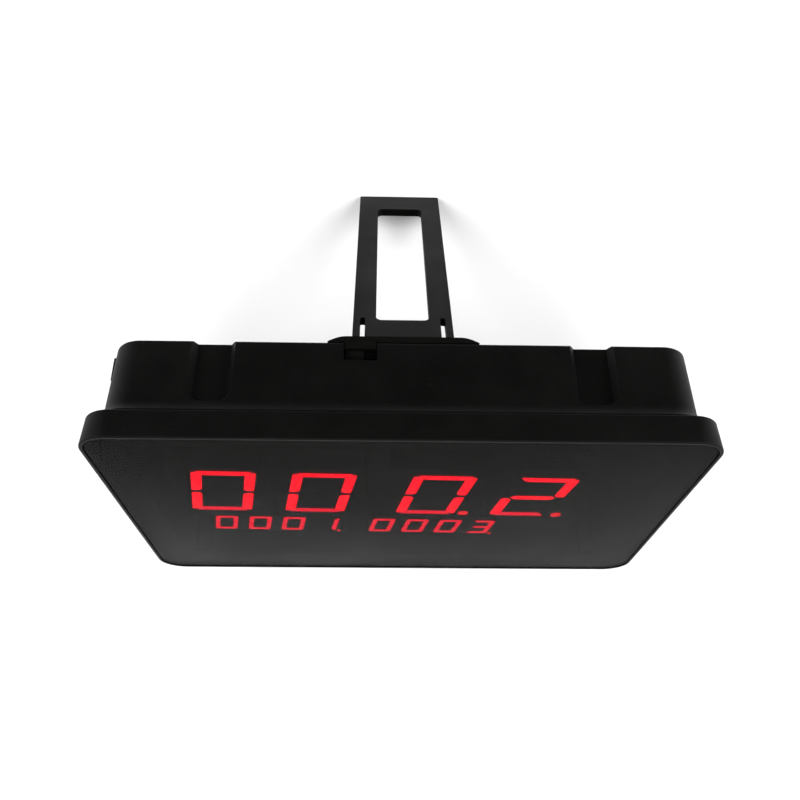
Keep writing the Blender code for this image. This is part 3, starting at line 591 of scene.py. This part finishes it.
tongue = {"centre": -0.01435, "width": 0.0105, "reach": 0.0026, "thickness": 0.0019, "pit": 0.0045}
hook = {"reach": 0.0028, "drop": 0.0016, "thickness": 0.0009, "overlap": 0.0008, "width": 0.0060}
soundHoles = {"radius": 0.0011, "ringRadius": 0.0052, "count": 6, "depth": 0.0060}
well = {
    "radius": 0.0043, "floor": 0.0080, "boreRadius": 0.0031, "flareRadius": 0.0037, "flareDepth": 0.0004,
    "over": 0.0002, "holeStop": 0.0020, "postRadius": 0.0030,
}
jackHoleRadius = 0.0040
edgeWidths = {"housing": 0.00028, "bracket": 0.0002, "leg": 0.00025, "switch": 0.00018}
switchLook = {
    "flange": 0.0008, "wall": 0.0007, "clearance": 0.0003, "setback": 0.0004, "frameEnd": 0.0035, "depth": 0.0053,
    "over": 0.0010,
}


def grooveRing(halfWidth, front, radius, lift):
    points = []
    for side in (-1, 1):
        for rise, run in quarter(8) if side < 0 else reversed(quarter(8)):
            points.append((side * (halfWidth - radius * run), front + radius * rise))
    points.append((halfWidth, caseDepth + groove["runOut"]))
    points.append((-halfWidth, caseDepth + groove["runOut"]))
    return [Vector((x, y, bodyTop(y) + lift)) for x, y in points]


def grooveCutter(centre):
    floorHalf = groove["floorWidth"] / 2
    front = groove["start"] + groove["sideRun"]
    spread = groove["sideRun"] * (groove["depth"] + groove["above"]) / groove["depth"]
    floor = grooveRing(floorHalf, front, groove["frontRadius"], -groove["depth"])
    top = grooveRing(floorHalf + spread, front - spread, groove["frontRadius"] + spread, groove["above"])
    shift = Vector((centre, 0, 0))
    return loft("groove", [[point + shift for point in ring] for ring in (floor, top)])


def makeHousing():
    edge = body["rearEdge"]
    wall = body["wall"]
    gap = bracket["clearance"]
    rings = [bodyRing(bodyInsetAt(caseDepth) + edge, caseDepth)]
    for rise, run in quarter(6)[1:]:
        y = caseDepth - edge * run
        rings.append(bodyRing(bodyInsetAt(y) + edge * rise, y))
    for rise, run in reversed(quarter(12)):
        y = housingFront + body["lip"] + body["coveDepth"] * run
        rings.append(bodyRing(body["inset"] - body["coveRise"] * rise, y))
    rings.append(bodyRing(body["inset"] - body["coveRise"], housingFront))
    rings.append(bodyRing(body["inset"] + wall, housingFront))
    rings.append(bodyRing(body["inset"] + wall, bodyStart))
    rearInner = caseDepth - wall
    rings.append(bodyRing(bodyInsetAt(rearInner) + wall, rearInner))
    piece = loft("housingShell", rings)
    outside = caseDepth + wall
    inWall = rearInner + wall / 2
    rearTop = bodyTop(caseDepth)
    openingTop = rearTop - wall - gap
    openingBottom = openingTop - bracket["openingHeight"]
    adds = []
    cuts = []
    grooveHalf = groove["floorWidth"] / 2 + groove["sideRun"]
    for side in (-1, 1):
        centre = side * groove["centre"]
        low = (centre - grooveHalf - wall, spigotEnd + 2 * gap, rearTop - groove["depth"] - wall)
        adds.append(boxPiece("rib", low, (centre + grooveHalf + wall, inWall, rearTop - wall / 2)))
        cuts.append(grooveCutter(centre))
    recessHalf = legWidth / 2 + 2 * gap
    recessDepth = leg["thickness"] / 2 + hinge["clearance"] - (hingePoint.y - caseDepth)
    low = (-recessHalf - wall, rearInner - recessDepth, -rearTop + wall / 2)
    adds.append(boxPiece("pad", low, (recessHalf + wall, inWall, openingBottom - gap)))
    hole = bezel["holeRadius"]
    wellFront = bezelHigh.y + gap
    postFront = caseBox("main_board")[1].y + gap
    reach = caseDepth - wellFront
    bore = [
        (well["boreRadius"], well["floor"]), (well["boreRadius"], reach - well["flareDepth"]),
        (well["flareRadius"], reach + well["over"]),
    ]
    for number in fours:
        start = middleAt(f"case_screw_{number}", wellFront)
        adds.append(rod("well", well["radius"], 0, inWall - wellFront, start, alongY, 40))
        cuts.append(turned("bore", bore, start, alongY, 40))
        cuts.append(rod("hole", hole, -gap, reach - well["holeStop"], start, alongY, 24))
        start = middleAt(f"board_screw_{number}", postFront)
        adds.append(rod("post", well["postRadius"], 0, inWall - postFront, start, alongY, 32))
        cuts.append(rod("hole", hole, -gap, rearInner - wall - postFront, start, alongY, 24))
    opening = bracket["blockWidth"] / 2 + gap
    cuts.append(boxPiece("opening", (-opening, rearInner - wall, openingBottom), (opening, outside, openingTop)))
    low = (-recessHalf, caseDepth - recessDepth, -faceHeight)
    cuts.append(boxPiece("recess", low, (recessHalf, outside, openingBottom + wall)))
    notchHalf = tongue["width"] / 2 + gap
    low = (tongue["centre"] - notchHalf, caseDepth - tongue["reach"] - tongue["pit"], openingTop - gap)
    cuts.append(boxPiece("notch", low, (tongue["centre"] + notchHalf, outside, faceHeight / 2)))
    switchLow, switchHigh = caseBox("switch_body")
    flange = switchLook["flange"]
    low = (switchLow.x - wall, switchLow.y + flange - gap, switchLow.z + flange - gap)
    high = (switchLow.x + 3 * wall, switchHigh.y - flange + gap, switchHigh.z - flange + gap)
    cuts.append(boxPiece("switchOpening", low, high))
    jackLow, jackHigh = caseBox("dc_jack")
    middle = (jackLow.x - wall, (jackLow.y + jackHigh.y) / 2, (jackLow.z + jackHigh.z) / 2)
    cuts.append(rod("jackHole", jackHoleRadius, 0, 3 * wall, middle, alongX, 48))
    middle = caseMid("buzzer")
    ring = soundHoles["ringRadius"]
    holes = [(middle.x, middle.z)]
    for step in range(soundHoles["count"]):
        angle = 2 * pi * step / soundHoles["count"]
        holes.append((middle.x + ring * cos(angle), middle.z + ring * sin(angle)))
    for x, z in holes:
        start = (x, rearInner - wall, z)
        cuts.append(rod("soundHole", soundHoles["radius"], 0, soundHoles["depth"], start, alongY, 20))
    join(piece, *adds)
    cut(piece, *cuts)
    roundEdges(piece, edgeWidths["housing"], 2, 30)
    finishPiece(piece, casePlastic, "case", ["rear_housing"])


makeHousing()
print("housing made")


# Stand

legSlope = pi / 2 - hinge["openAngle"]
legDirection = Vector((0, cos(legSlope), -sin(legSlope)))
legNormal = Vector((0, sin(legSlope), cos(legSlope)))
legMatrix = caseMatrix @ Matrix.Translation(hingePoint) @ Matrix.Rotation(-legSlope, 4, "X")


belowFloor = ((-0.1, 0.0, -0.02), (0.1, 0.2, 0.0))


def makeBracket():
    gap = bracket["clearance"]
    roof = bodyTop(caseDepth)
    front = caseDepth + gap
    back = bracketHigh.y
    halfBase = bracketHigh.x
    halfRear = bracket["rearWidth"] / 2
    outline = [
        (-halfBase, front), (halfBase, front), (halfBase, front + gap), (halfRear, back), (-halfRear, back),
        (-halfBase, front + gap),
    ]
    outline = softCorners(outline, bracket["cornerSoft"])
    piece = prism("bracketBlock", outline, "Z", bracketLow.z, roof - bracket["drop"])
    openingTop = roof - body["wall"] - gap
    half = bracket["blockWidth"] / 2
    low = (-half, caseDepth - bracket["blockDepth"], openingTop - bracket["openingHeight"] + gap)
    blockPiece = boxPiece("block", low, (half, (front + back) / 2, openingTop - gap))
    tip = caseDepth - tongue["reach"]
    side = tongue["centre"] - tongue["width"] / 2
    thick = tongue["thickness"]
    outline = [(tip, bodyTop(tip)), (tip, bodyTop(tip) - thick), (front + gap, roof - thick), (front + gap, roof)]
    tonguePiece = prism("tongue", outline, "X", side, side + tongue["width"])
    hookTip = tip - hook["reach"]
    hookRoot = tip + hook["overlap"]
    bottom = roof - thick
    outline = [
        (hookRoot, bottom + hook["overlap"]), (hookTip, bottom - hook["drop"]),
        (hookTip, bottom - hook["drop"] - hook["thickness"]), (hookRoot, bottom - hook["thickness"] + gap),
    ]
    hookPiece = prism("hook", outline, "X", side + gap, side + gap + hook["width"])
    join(piece, blockPiece, tonguePiece, hookPiece)
    # room for the leg's root, its pins and its swing
    slotHalf = legWidth / 2 + gap
    reach = leg["thickness"] / 2 + hinge["clearance"]
    above = hingePoint + legNormal * reach
    beyond = above + legDirection * bracket["sweepLength"]
    below = hingePoint.z - bracket["sweepDepth"]
    nearSide = hingePoint.y - reach
    outline = [(above.y, above.z), (beyond.y, beyond.z), (beyond.y, below), (nearSide, below), (nearSide, hingePoint.z)]
    sweep = prism("sweep", outline, "X", -slotHalf, slotHalf)
    root = rod("root", reach, 0, 2 * slotHalf, (-slotHalf, hingePoint.y, hingePoint.z), alongX, 48)
    socketHalf = legWidth / 2 + leg["pinLength"] + gap
    pivot = (-socketHalf, hingePoint.y, hingePoint.z)
    socket = rod("socket", leg["pinRadius"] + gap, 0, 2 * socketHalf, pivot, alongX, 32)
    cut(piece, sweep, root, socket)
    roundEdges(piece, edgeWidths["bracket"], 2, 25)
    finishPiece(piece, standPlastic, "case", ["stand_bracket"])


def makeLeg():
    half = legWidth / 2
    thick = leg["thickness"]
    ear = leg["earWidth"]
    tip = roundedOutline(legWidth, 0, leg["length"], leg["tipRadius"])
    outline = [(half, 0)] + [point for point in tip if point[1] > leg["length"] / 2] + [(-half, 0)]
    piece = prism("legPlate", outline, "Z", -thick / 2, thick / 2)
    join(piece, rod("root", thick / 2, 0, legWidth, (-half, 0, 0), alongX, 40))
    outline = roundedOutline(leg["windowWidth"], leg["windowStart"], leg["windowEnd"], leg["windowRadius"])
    window = prism("window", outline, "Z", -thick, thick)
    slotMiddle = half - ear - leg["slotWidth"] / 2
    pinLength = ear / 2 + leg["pinLength"]
    radius = leg["pinRadius"]
    profile = [(radius, 0), (radius, pinLength - leg["pinChamfer"]), (radius - leg["pinChamfer"], pinLength)]
    slots = []
    pivots = []
    for side in (-1, 1):
        outline = roundedOutline(leg["slotWidth"], -thick, leg["slotEnd"], leg["slotRadius"])
        outline = [(x + side * slotMiddle, y) for x, y in outline]
        slots.append(prism("slot", outline, "Z", -thick, thick))
        pivots.append(turned("pin", profile, (side * (half - ear / 2), 0, 0), (side, 0, 0), 32))
    cut(piece, window, *slots)
    join(piece, *pivots)
    piece.data.transform(legMatrix)
    cut(piece, boxPiece("floorPlane", *belowFloor))
    roundEdges(piece, edgeWidths["leg"], 2, 25)
    finishPiece(piece, standPlastic, "stand", ["stand_leg"], place=Matrix.Identity(4))


makeBracket()
makeLeg()
print("stand made")


# Lit figures behind the panel

largeFigure = {
    "width": 0.0228, "height": 0.0375, "stroke": 0.0038, "bar": 0.0031, "gap": 0.00016, "waist": 0.0024,
    "corner": 0.0012, "soft": 0.00075, "slant": radians(7.5), "dot": 0.0020, "dotPlace": (0.01266, -0.0175),
    "thickness": 0.00025,
}
smallFigure = {
    "width": 0.0088, "height": 0.0143, "stroke": 0.0018, "bar": 0.0016, "gap": 0.00010, "waist": 0.0006,
    "corner": 0.0004, "soft": 0.00018, "slant": radians(7.5), "dot": 0.0007, "dotPlace": (0.00484, -0.00735),
    "thickness": 0.00020,
}
figureRow = {"roll": radians(1.8), "rollAbout": -0.008, "smallPitch": 0.0134, "proud": 0.0002, "drop": 0.0004}
plate = {"narrowing": 0.02, "step": 0.3}
# radius as a share of the decimal point's own, and distance behind its front
dotDome = [
    (0.18, -0.00010), (0.40, -0.00006), (0.52, 0.00002), (0.62, 0.00002), (0.76, -0.00007), (0.92, -0.00005),
    (1.0, 0.00004),
]
# segments: a top, b upper right, c lower right, d bottom, e lower left, f upper left, g middle
digitSegments = {"0": "abcdef", "1": "bc", "2": "abged", "3": "abgcd"}
# each figure: its digit, whether its point is lit, and a shift for the large ones
largeReading = [("0", False, 0.0), ("0", False, 0.0), ("0", True, 0.0), ("2", True, 0.0003)]
smallReadings = {"left": [("0", False)] * 3 + [("1", True)], "right": [("0", False)] * 3 + [("3", True)]}


def segmentOutlines(figure):
    w = figure["width"] / 2
    h = figure["height"] / 2
    t = figure["stroke"]
    bar = figure["bar"]
    g = figure["gap"]
    c = figure["corner"]
    waist = figure["waist"] / 2
    chamfer = t * 0.3
    thin = bar * 0.48
    inner = w - t
    level = h - bar
    slack = g * 0.4
    top = [(-w + c + g, h), (w - c - g, h), (inner - slack, level), (slack - inner, level)]
    right = [
        (w, h - c - g), (w, waist), (inner + chamfer, waist), (inner, waist + chamfer), (inner, level - slack),
        (w - c * 0.5, h - c * 0.5 - g * 1.4),
    ]
    end = w - t * 0.75
    shoulder = inner - thin * 0.5
    middle = [(-end, 0), (-shoulder, thin), (shoulder, thin), (end, 0), (shoulder, -thin), (-shoulder, -thin)]
    lowerRight = upsideDown(right)
    return {
        "a": top, "b": right, "c": lowerRight, "d": upsideDown(top), "e": mirrored(lowerRight), "f": mirrored(right),
        "g": middle,
    }


def mirrored(outline):
    return [(-x, z) for x, z in reversed(outline)]


def upsideDown(outline):
    return [(x, -z) for x, z in reversed(outline)]


def addPlate(bm, outline, front, back):
    # a thin raised plate with a small step round its edge
    middle = sum((Vector(point) for point in outline), Vector((0, 0))) / len(outline)
    share = plate["narrowing"]
    near = [bm.verts.new((x + (middle.x - x) * share, front, z + (middle.y - z) * share)) for x, z in outline]
    edge = [bm.verts.new((x, front + (back - front) * plate["step"], z)) for x, z in outline]
    far = [bm.verts.new((x, back, z)) for x, z in outline]
    bm.faces.new(near)
    bm.faces.new(list(reversed(far)))
    for ring, nextRing in ((near, edge), (edge, far)):
        for index in range(len(ring)):
            after = (index + 1) % len(ring)
            bm.faces.new((ring[index], nextRing[index], nextRing[after], ring[after]))


def rolledPlace(centre, x, z, slant=0.0):
    # the figures lean with their own slant and stand a little out of level with the case
    roll = figureRow["roll"]
    x += z * tan(slant)
    return centre[0] + x * cos(roll) + z * sin(roll), centre[1] - x * sin(roll) + z * cos(roll)


def addFigure(lit, dim, dark, figure, digit, centre, front):
    back = front + figure["thickness"]
    for name, outline in segmentOutlines(figure).items():
        target = dark
        if name in digitSegments[digit]:
            target = dim if name == "d" else lit
        outline = softCorners(outline, figure["soft"])
        addPlate(target, [rolledPlace(centre, x, z, figure["slant"]) for x, z in outline], front, back)


def dotPiece(name, figure, centre, front):
    # a decimal point: a low dome with a ring round it
    x, z = rolledPlace(centre, *figure["dotPlace"])
    profile = [(figure["dot"] * share, along) for share, along in dotDome + [(1.0, figure["thickness"])]]
    return turned(name, profile, (x, front, z), alongY, 32)


def finishFigures(name, bm, material):
    bmesh.ops.recalc_face_normals(bm, faces=bm.faces)
    piece = newObject(name, bm)
    finishPiece(piece, material, "case")


def figureCentre(module, offset=0.0):
    roll = figureRow["roll"]
    x = module.x + offset * cos(roll)
    return x, module.z - figureRow["drop"] - tan(roll) * (x - figureRow["rollAbout"])


def makeFigures():
    dark = bmesh.new()
    dim = bmesh.new()
    for number, (digit, dot, shift) in enumerate(largeReading, 1):
        module = f"large_digit_{number}"
        front = caseBox(module)[0].y - figureRow["proud"]
        centre = figureCentre(caseMid(module), shift)
        lit = bmesh.new()
        addFigure(lit, dim, dark, largeFigure, digit, centre, front)
        finishFigures(f"litFigure{number}", lit, litRed)
        point = dotPiece(f"point{number}", largeFigure, centre, front)
        material, slotName = (litRedDim, "lit_segment") if dot else (darkSegment, "digit_module")
        finishPiece(point, material, "case", smooth=50)
    finishFigures("litBottomBars", dim, litRedBar)
    for side, reading in smallReadings.items():
        module = caseMid(f"small_digits_{side}")
        front = caseBox(f"small_digits_{side}")[0].y - figureRow["proud"]
        lit = bmesh.new()
        for index, (digit, dot) in enumerate(reading):
            centre = figureCentre(module, (index - 1.5) * figureRow["smallPitch"])
            addFigure(lit, lit, dark, smallFigure, digit, centre, front)
            if dot:
                point = dotPiece(f"point{side.title()}", smallFigure, centre, front)
                finishPiece(point, litRedDim, "case", smooth=50)
        finishFigures(f"litRow{side.title()}", lit, litRedSmall)
    finishFigures("unlitSegments", dark, darkSegment)


makeFigures()
print("figures made")


# Power switch

terminal = {"length": 0.0040, "halfThickness": 0.0004, "halfWidth": 0.0010, "offset": 0.0020}
rocker = {"tilt": radians(12), "root": 0.0010, "rootShare": 0.6, "crest": 0.0032, "dish": 0.0007, "steps": 24}


def makeSwitch():
    low, high = caseBox("switch_body")
    middle = (low + high) / 2
    flange = switchLook["flange"]
    frameLow = (low.x + switchLook["setback"], low.y + flange, low.z + flange)
    piece = boxPiece("switchFrame", frameLow, (high.x - switchLook["frameEnd"], high.y - flange, high.z - flange))
    adds = [boxPiece("flange", low, (low.x + flange, high.y, high.z))]
    thick = terminal["halfThickness"]
    half = terminal["halfWidth"]
    for side in (-1, 1):
        z = middle.z + side * terminal["offset"]
        start = (high.x - terminal["length"], middle.y - thick, z - half)
        adds.append(boxPiece("terminal", start, (high.x, middle.y + thick, z + half)))
    join(piece, *adds)
    inner = flange + switchLook["wall"]
    wellLow = (low.x - switchLook["over"], low.y + inner, low.z + inner)
    cut(piece, boxPiece("well", wellLow, (low.x + switchLook["depth"], high.y - inner, high.z - inner)))
    roundEdges(piece, edgeWidths["switch"], 2, 40)
    finishPiece(piece, switchPlastic, "case", ["switch_body"])
    tilt = rocker["tilt"]
    crest = rocker["crest"]
    root = rocker["root"]
    wellHalf = (high.y - low.y) / 2 - inner - switchLook["clearance"]
    halfLength = (wellHalf - crest * sin(tilt)) / cos(tilt)
    halfHeight = (high.z - low.z) / 2 - inner - switchLook["clearance"]
    rootHalf = halfLength * rocker["rootShare"]
    outline = [(root, -rootHalf), (root, rootHalf), (0, halfLength)]
    for step in range(rocker["steps"] + 1):
        across = 1 - 2 * step / rocker["steps"]
        outline.append((-crest + rocker["dish"] * (1 - across * across), halfLength * across))
    outline.append((0, -halfLength))
    cap = prism("rockerCap", outline, "Z", -halfHeight, halfHeight)
    roundEdges(cap, edgeWidths["switch"], 3, 30)
    axisPoint = toCase @ Vector(joints["switch_tilt"]["pos_m"])
    place = caseMatrix @ Matrix.Translation(axisPoint) @ Matrix.Rotation(-tilt, 4, "Z")
    finishPiece(cap, switchPlastic, "rocker", ["switch_rocker"], place=place)


makeSwitch()
print("switch made")


# Pins, solder and legs on the board, repeated in rows by one node tree


def makeRowTree():
    # repeats the shape it is given along a row, then repeats the row; every second row is turned about Y
    tree = bpy.data.node_groups.new("repeatInRows", "GeometryNodeTree")
    for label, kind in (
        ("Geometry", "NodeSocketGeometry"), ("Count", "NodeSocketInt"), ("Pitch", "NodeSocketFloat"),
        ("Rows", "NodeSocketInt"), ("Row Spacing", "NodeSocketFloat"), ("Turn", "NodeSocketFloat"),
        ("Finish", "NodeSocketMaterial"),
    ):
        tree.interface.new_socket(name=label, in_out="INPUT", socket_type=kind)
    tree.interface.new_socket(name="Geometry", in_out="OUTPUT", socket_type="NodeSocketGeometry")
    entry = tree.nodes.new("NodeGroupInput")
    leave = tree.nodes.new("NodeGroupOutput")

    def lineOf(countLabel, pitchLabel, axis):
        less = addNode(tree, "ShaderNodeMath", {1: 1.0}, operation="SUBTRACT")
        span = addNode(tree, "ShaderNodeMath", operation="MULTIPLY")
        halfSpan = addNode(tree, "ShaderNodeMath", {1: -0.5}, operation="MULTIPLY")
        start = tree.nodes.new("ShaderNodeCombineXYZ")
        step = tree.nodes.new("ShaderNodeCombineXYZ")
        line = tree.nodes.new("GeometryNodeMeshLine")
        link(entry, countLabel, less, 0)
        link(less, 0, span, 0)
        link(entry, pitchLabel, span, 1)
        link(span, 0, halfSpan, 0)
        link(halfSpan, 0, start, axis)
        link(entry, pitchLabel, step, axis)
        link(entry, countLabel, line, "Count")
        link(start, 0, line, "Start Location")
        link(step, 0, line, "Offset")
        return line

    along = tree.nodes.new("GeometryNodeInstanceOnPoints")
    across = tree.nodes.new("GeometryNodeInstanceOnPoints")
    index = tree.nodes.new("GeometryNodeInputIndex")
    turn = addNode(tree, "ShaderNodeMath", operation="MULTIPLY")
    rotation = tree.nodes.new("ShaderNodeCombineXYZ")
    realize = tree.nodes.new("GeometryNodeRealizeInstances")
    paint = tree.nodes.new("GeometryNodeSetMaterial")
    link(lineOf("Count", "Pitch", "X"), "Mesh", along, "Points")
    link(entry, "Geometry", along, "Instance")
    link(lineOf("Rows", "Row Spacing", "Z"), "Mesh", across, "Points")
    link(along, "Instances", across, "Instance")
    link(index, 0, turn, 0)
    link(entry, "Turn", turn, 1)
    link(turn, 0, rotation, "Y")
    link(rotation, 0, across, "Rotation")
    link(across, "Instances", realize, "Geometry")
    link(realize, "Geometry", paint, "Geometry")
    link(entry, "Finish", paint, "Material")
    link(paint, "Geometry", leave, "Geometry")
    return tree


rowTree = makeRowTree()


def repeated(piece, centre, rows, finish):
    # the piece repeated about centre, as a plain mesh
    modifier = piece.modifiers.new("rows", "NODES")
    modifier.node_group = rowTree
    values = {"Turn": 0.0, "Rows": 1, "Row Spacing": 0.0, "Finish": finish, **rows}
    for item in rowTree.interface.items_tree:
        if item.in_out == "INPUT" and item.name in values:
            modifier[item.identifier] = values[item.name]
    settle(piece)
    piece.data.transform(Matrix.Translation(centre))
    return piece


def gather(name, pieces):
    # several plain meshes in one
    bm = bmesh.new()
    for piece in pieces:
        bm.from_mesh(piece.data)
        bpy.data.objects.remove(piece, do_unlink=True)
    return newObject(name, bm)


pins = {
    "chipCount": 13, "chipThick": 0.00025, "chipReach": 0.0009, "legTop": 0.0003, "toe": 0.0001,
    "solderRadius": 0.0009, "solderHeight": 0.00026, "headerHalf": 0.0003, "headerSunk": 0.0002,
}
# each chip: the pitch and the width of its legs
chipLegs = {
    "controller_chip": (0.00254, 0.0005), "driver_chip_left": (0.00127, 0.0004), "driver_chip_right": (0.00127, 0.0004),
}
regulator = {"width": 0.0007, "thick": 0.0004, "reach": 0.0016}
regulatorRows = {"Count": 3, "Pitch": 0.0025}
headerRows = {"Count": 12, "Pitch": 0.0040, "Rows": 2, "Row Spacing": 0.0076}
moduleRows = {"Count": 5, "Pitch": 0.0025, "Rows": 2, "Row Spacing": 0.0400}
solderDome = [(1.0, 0.0), (0.86, 0.35), (0.55, 0.75), (0.34, 0.92), (0.12, 1.0)]


def legShape(width, thick, reach, shoulderY, footY):
    # a chip's leg: out of its side, then down to the board
    top = pins["legTop"]
    knee = -reach * 0.7
    near = shoulderY - thick / 2
    far = shoulderY - thick * 1.5
    outline = [
        (near, top), (near, knee), (near - pins["toe"], -reach), (footY, -reach), (footY, -reach + thick),
        (shoulderY - thick * 1.6, -reach + thick), (far, knee + thick), (far, top),
    ]
    return prism("leg", outline, "X", -width / 2, width / 2)


def solderShape():
    # a small dome of solder with the end of its pin
    profile = [(pins["solderRadius"] * wide, pins["solderHeight"] * high) for wide, high in solderDome]
    return turned("solder", profile, (0, 0, 0), alongY, 12)


def makePins():
    boardFront, boardBack = (corner.y for corner in caseBox("main_board"))
    headers = ["header_left", "header_right"]
    metal = []
    for name, (pitch, width) in chipLegs.items():
        low, high = caseBox(name)
        middle = (low + high) / 2
        shape = legShape(width, pins["chipThick"], pins["chipReach"], middle.y, boardBack)
        rows = {"Count": pins["chipCount"], "Pitch": pitch, "Rows": 2, "Row Spacing": high.z - low.z, "Turn": pi}
        metal.append(repeated(shape, middleAt(name, 0), rows, pinMetal))
    low, high = caseBox("voltage_regulator")
    middle = (low + high) / 2
    shape = legShape(regulator["width"], regulator["thick"], regulator["reach"], middle.y, boardBack)
    metal.append(repeated(shape, (middle.x, 0, low.z), regulatorRows, pinMetal))
    half = pins["headerHalf"]
    outline = [(-half, -half), (half, -half), (half, half), (-half, half)]
    for name in headers:
        shape = prism("pin", outline, "Y", caseBox(name)[1].y - pins["headerSunk"], boardFront)
        metal.append(repeated(shape, middleAt(name, 0), headerRows, pinMetal))
    finishPiece(gather("boardPins", metal), pinMetal, "case", smooth=30)
    soldered = [(f"large_digit_{number}", moduleRows) for number in fours]
    soldered += [(name, headerRows) for name in headers]
    solder = []
    for name, rows in soldered:
        solder.append(repeated(solderShape(), middleAt(name, boardBack), rows, solderTin))
    finishPiece(gather("boardSolder", solder), solderTin, "case", smooth=50)


makePins()
print("pins made")


# Finishes of the parts that keep their own shape

kept = [
    (boardLacquer, ["main_board"]),
    (chipResin, ["controller_chip", "driver_chip_left", "driver_chip_right", "voltage_regulator"]),
    (chipResin, ["header_left", "header_right"]),
    (brightCan, ["crystal"]),
    (sleeveBlue, ["smoothing_capacitor"]),
    (switchPlastic, ["buzzer", "dc_jack"]),
    (receiverResin, ["ir_receiver"]),
    (redCover, ["lead_jack_to_switch", "lead_switch_to_board"]),
    (blackCover, ["lead_jack_to_board"]),
    (moduleFace, ["small_digits_left", "small_digits_right"] + [f"large_digit_{number}" for number in fours]),
    (screwSteel, [f"{place}_screw_{number}" for number in fours for place in ("case", "board")]),
]
for material, names in kept:
    for name in names:
        nodes[name].data.materials.clear()
        nodes[name].data.materials.append(material)


# Floor, lights and camera

studio = {
    "floorSize": 2.8, "floorColours": ((0.92, 0.92, 0.92), (0.94, 0.94, 0.94)), "aim": (0, 0, 0.03), "fill": 0.06,
    "surround": 1.0,
}


def makeFloor():
    bm = bmesh.new()
    bmesh.ops.create_grid(bm, x_segments=2, y_segments=2, size=studio["floorSize"] / 2)
    floor = newObject("floor", bm)
    material, tree, shader, coords = startMaterial("paleFloor")
    noise = addNode(tree, "ShaderNodeTexNoise", {"Scale": 3.0, "Detail": 2.0})
    tree.links.new(coords, noise.inputs["Vector"])
    colour = mixColours(tree, noise.outputs["Fac"], *studio["floorColours"])
    tree.links.new(colour, shader.inputs["Base Color"])
    setInputs(shader, {"Roughness": 0.8, "Specular IOR Level": 0.2})
    floor.data.materials.append(material)


lightRig = [
    {"name": "leftSoft", "place": (-1.3, 0.1, 1.0), "size": 1.4, "power": 34.0},
    {"name": "rightSoft", "place": (1.3, 0.1, 1.0), "size": 1.4, "power": 34.0},
    {"name": "frontSoft", "place": (0.0, -1.4, 1.1), "size": 1.4, "power": 20.0},
]


def makeLights():
    for rig in lightRig:
        data = bpy.data.lights.new(rig["name"], "AREA")
        data.shape = "SQUARE"
        data.size = rig["size"]
        data.energy = rig["power"]
        lamp = addObject(rig["name"], data)
        lamp.location = rig["place"]
        aim = Vector(studio["aim"]) - Vector(rig["place"])
        lamp.rotation_euler = aim.to_track_quat("-Z", "Y").to_euler()
    world = bpy.data.worlds.new("studioWorld")
    world.use_nodes = True
    tree = world.node_tree
    background = tree.nodes["Background"]
    background.inputs["Color"].default_value = (1, 1, 1, 1)
    # pale behind the floor, but only a faint fill on the object
    path = tree.nodes.new("ShaderNodeLightPath")
    strength = mapValue(tree, path.outputs["Is Camera Ray"], studio["fill"], studio["surround"])
    tree.links.new(strength, background.inputs["Strength"])
    bpy.context.scene.world = world


viewpoint = {
    "place": (-0.0079, -0.1117, 0.3016), "pitch": 61.87, "yaw": 2.95, "roll": -3.24, "lens": 38.25, "sensor": 36,
    "nearest": 0.01,
}


def makeCamera():
    pitch, yaw, roll = (radians(viewpoint[key]) for key in ("pitch", "yaw", "roll"))
    forward = Vector((sin(yaw) * cos(pitch), cos(yaw) * cos(pitch), -sin(pitch)))
    right = Vector((cos(yaw), -sin(yaw), 0))
    down = forward.cross(right)
    turnedRight = cos(roll) * right + sin(roll) * down
    turnedDown = -sin(roll) * right + cos(roll) * down
    turn = Matrix((turnedRight, -turnedDown, -forward)).transposed().to_4x4()
    data = bpy.data.cameras.new("camera")
    data.lens = viewpoint["lens"]
    data.sensor_width = viewpoint["sensor"]
    data.clip_start = viewpoint["nearest"]
    camera = addObject("camera", data)
    camera.matrix_world = caseMatrix @ Matrix.Translation(Vector(viewpoint["place"])) @ turn
    bpy.context.scene.camera = camera


makeFloor()
makeLights()
makeCamera()
print("studio made")
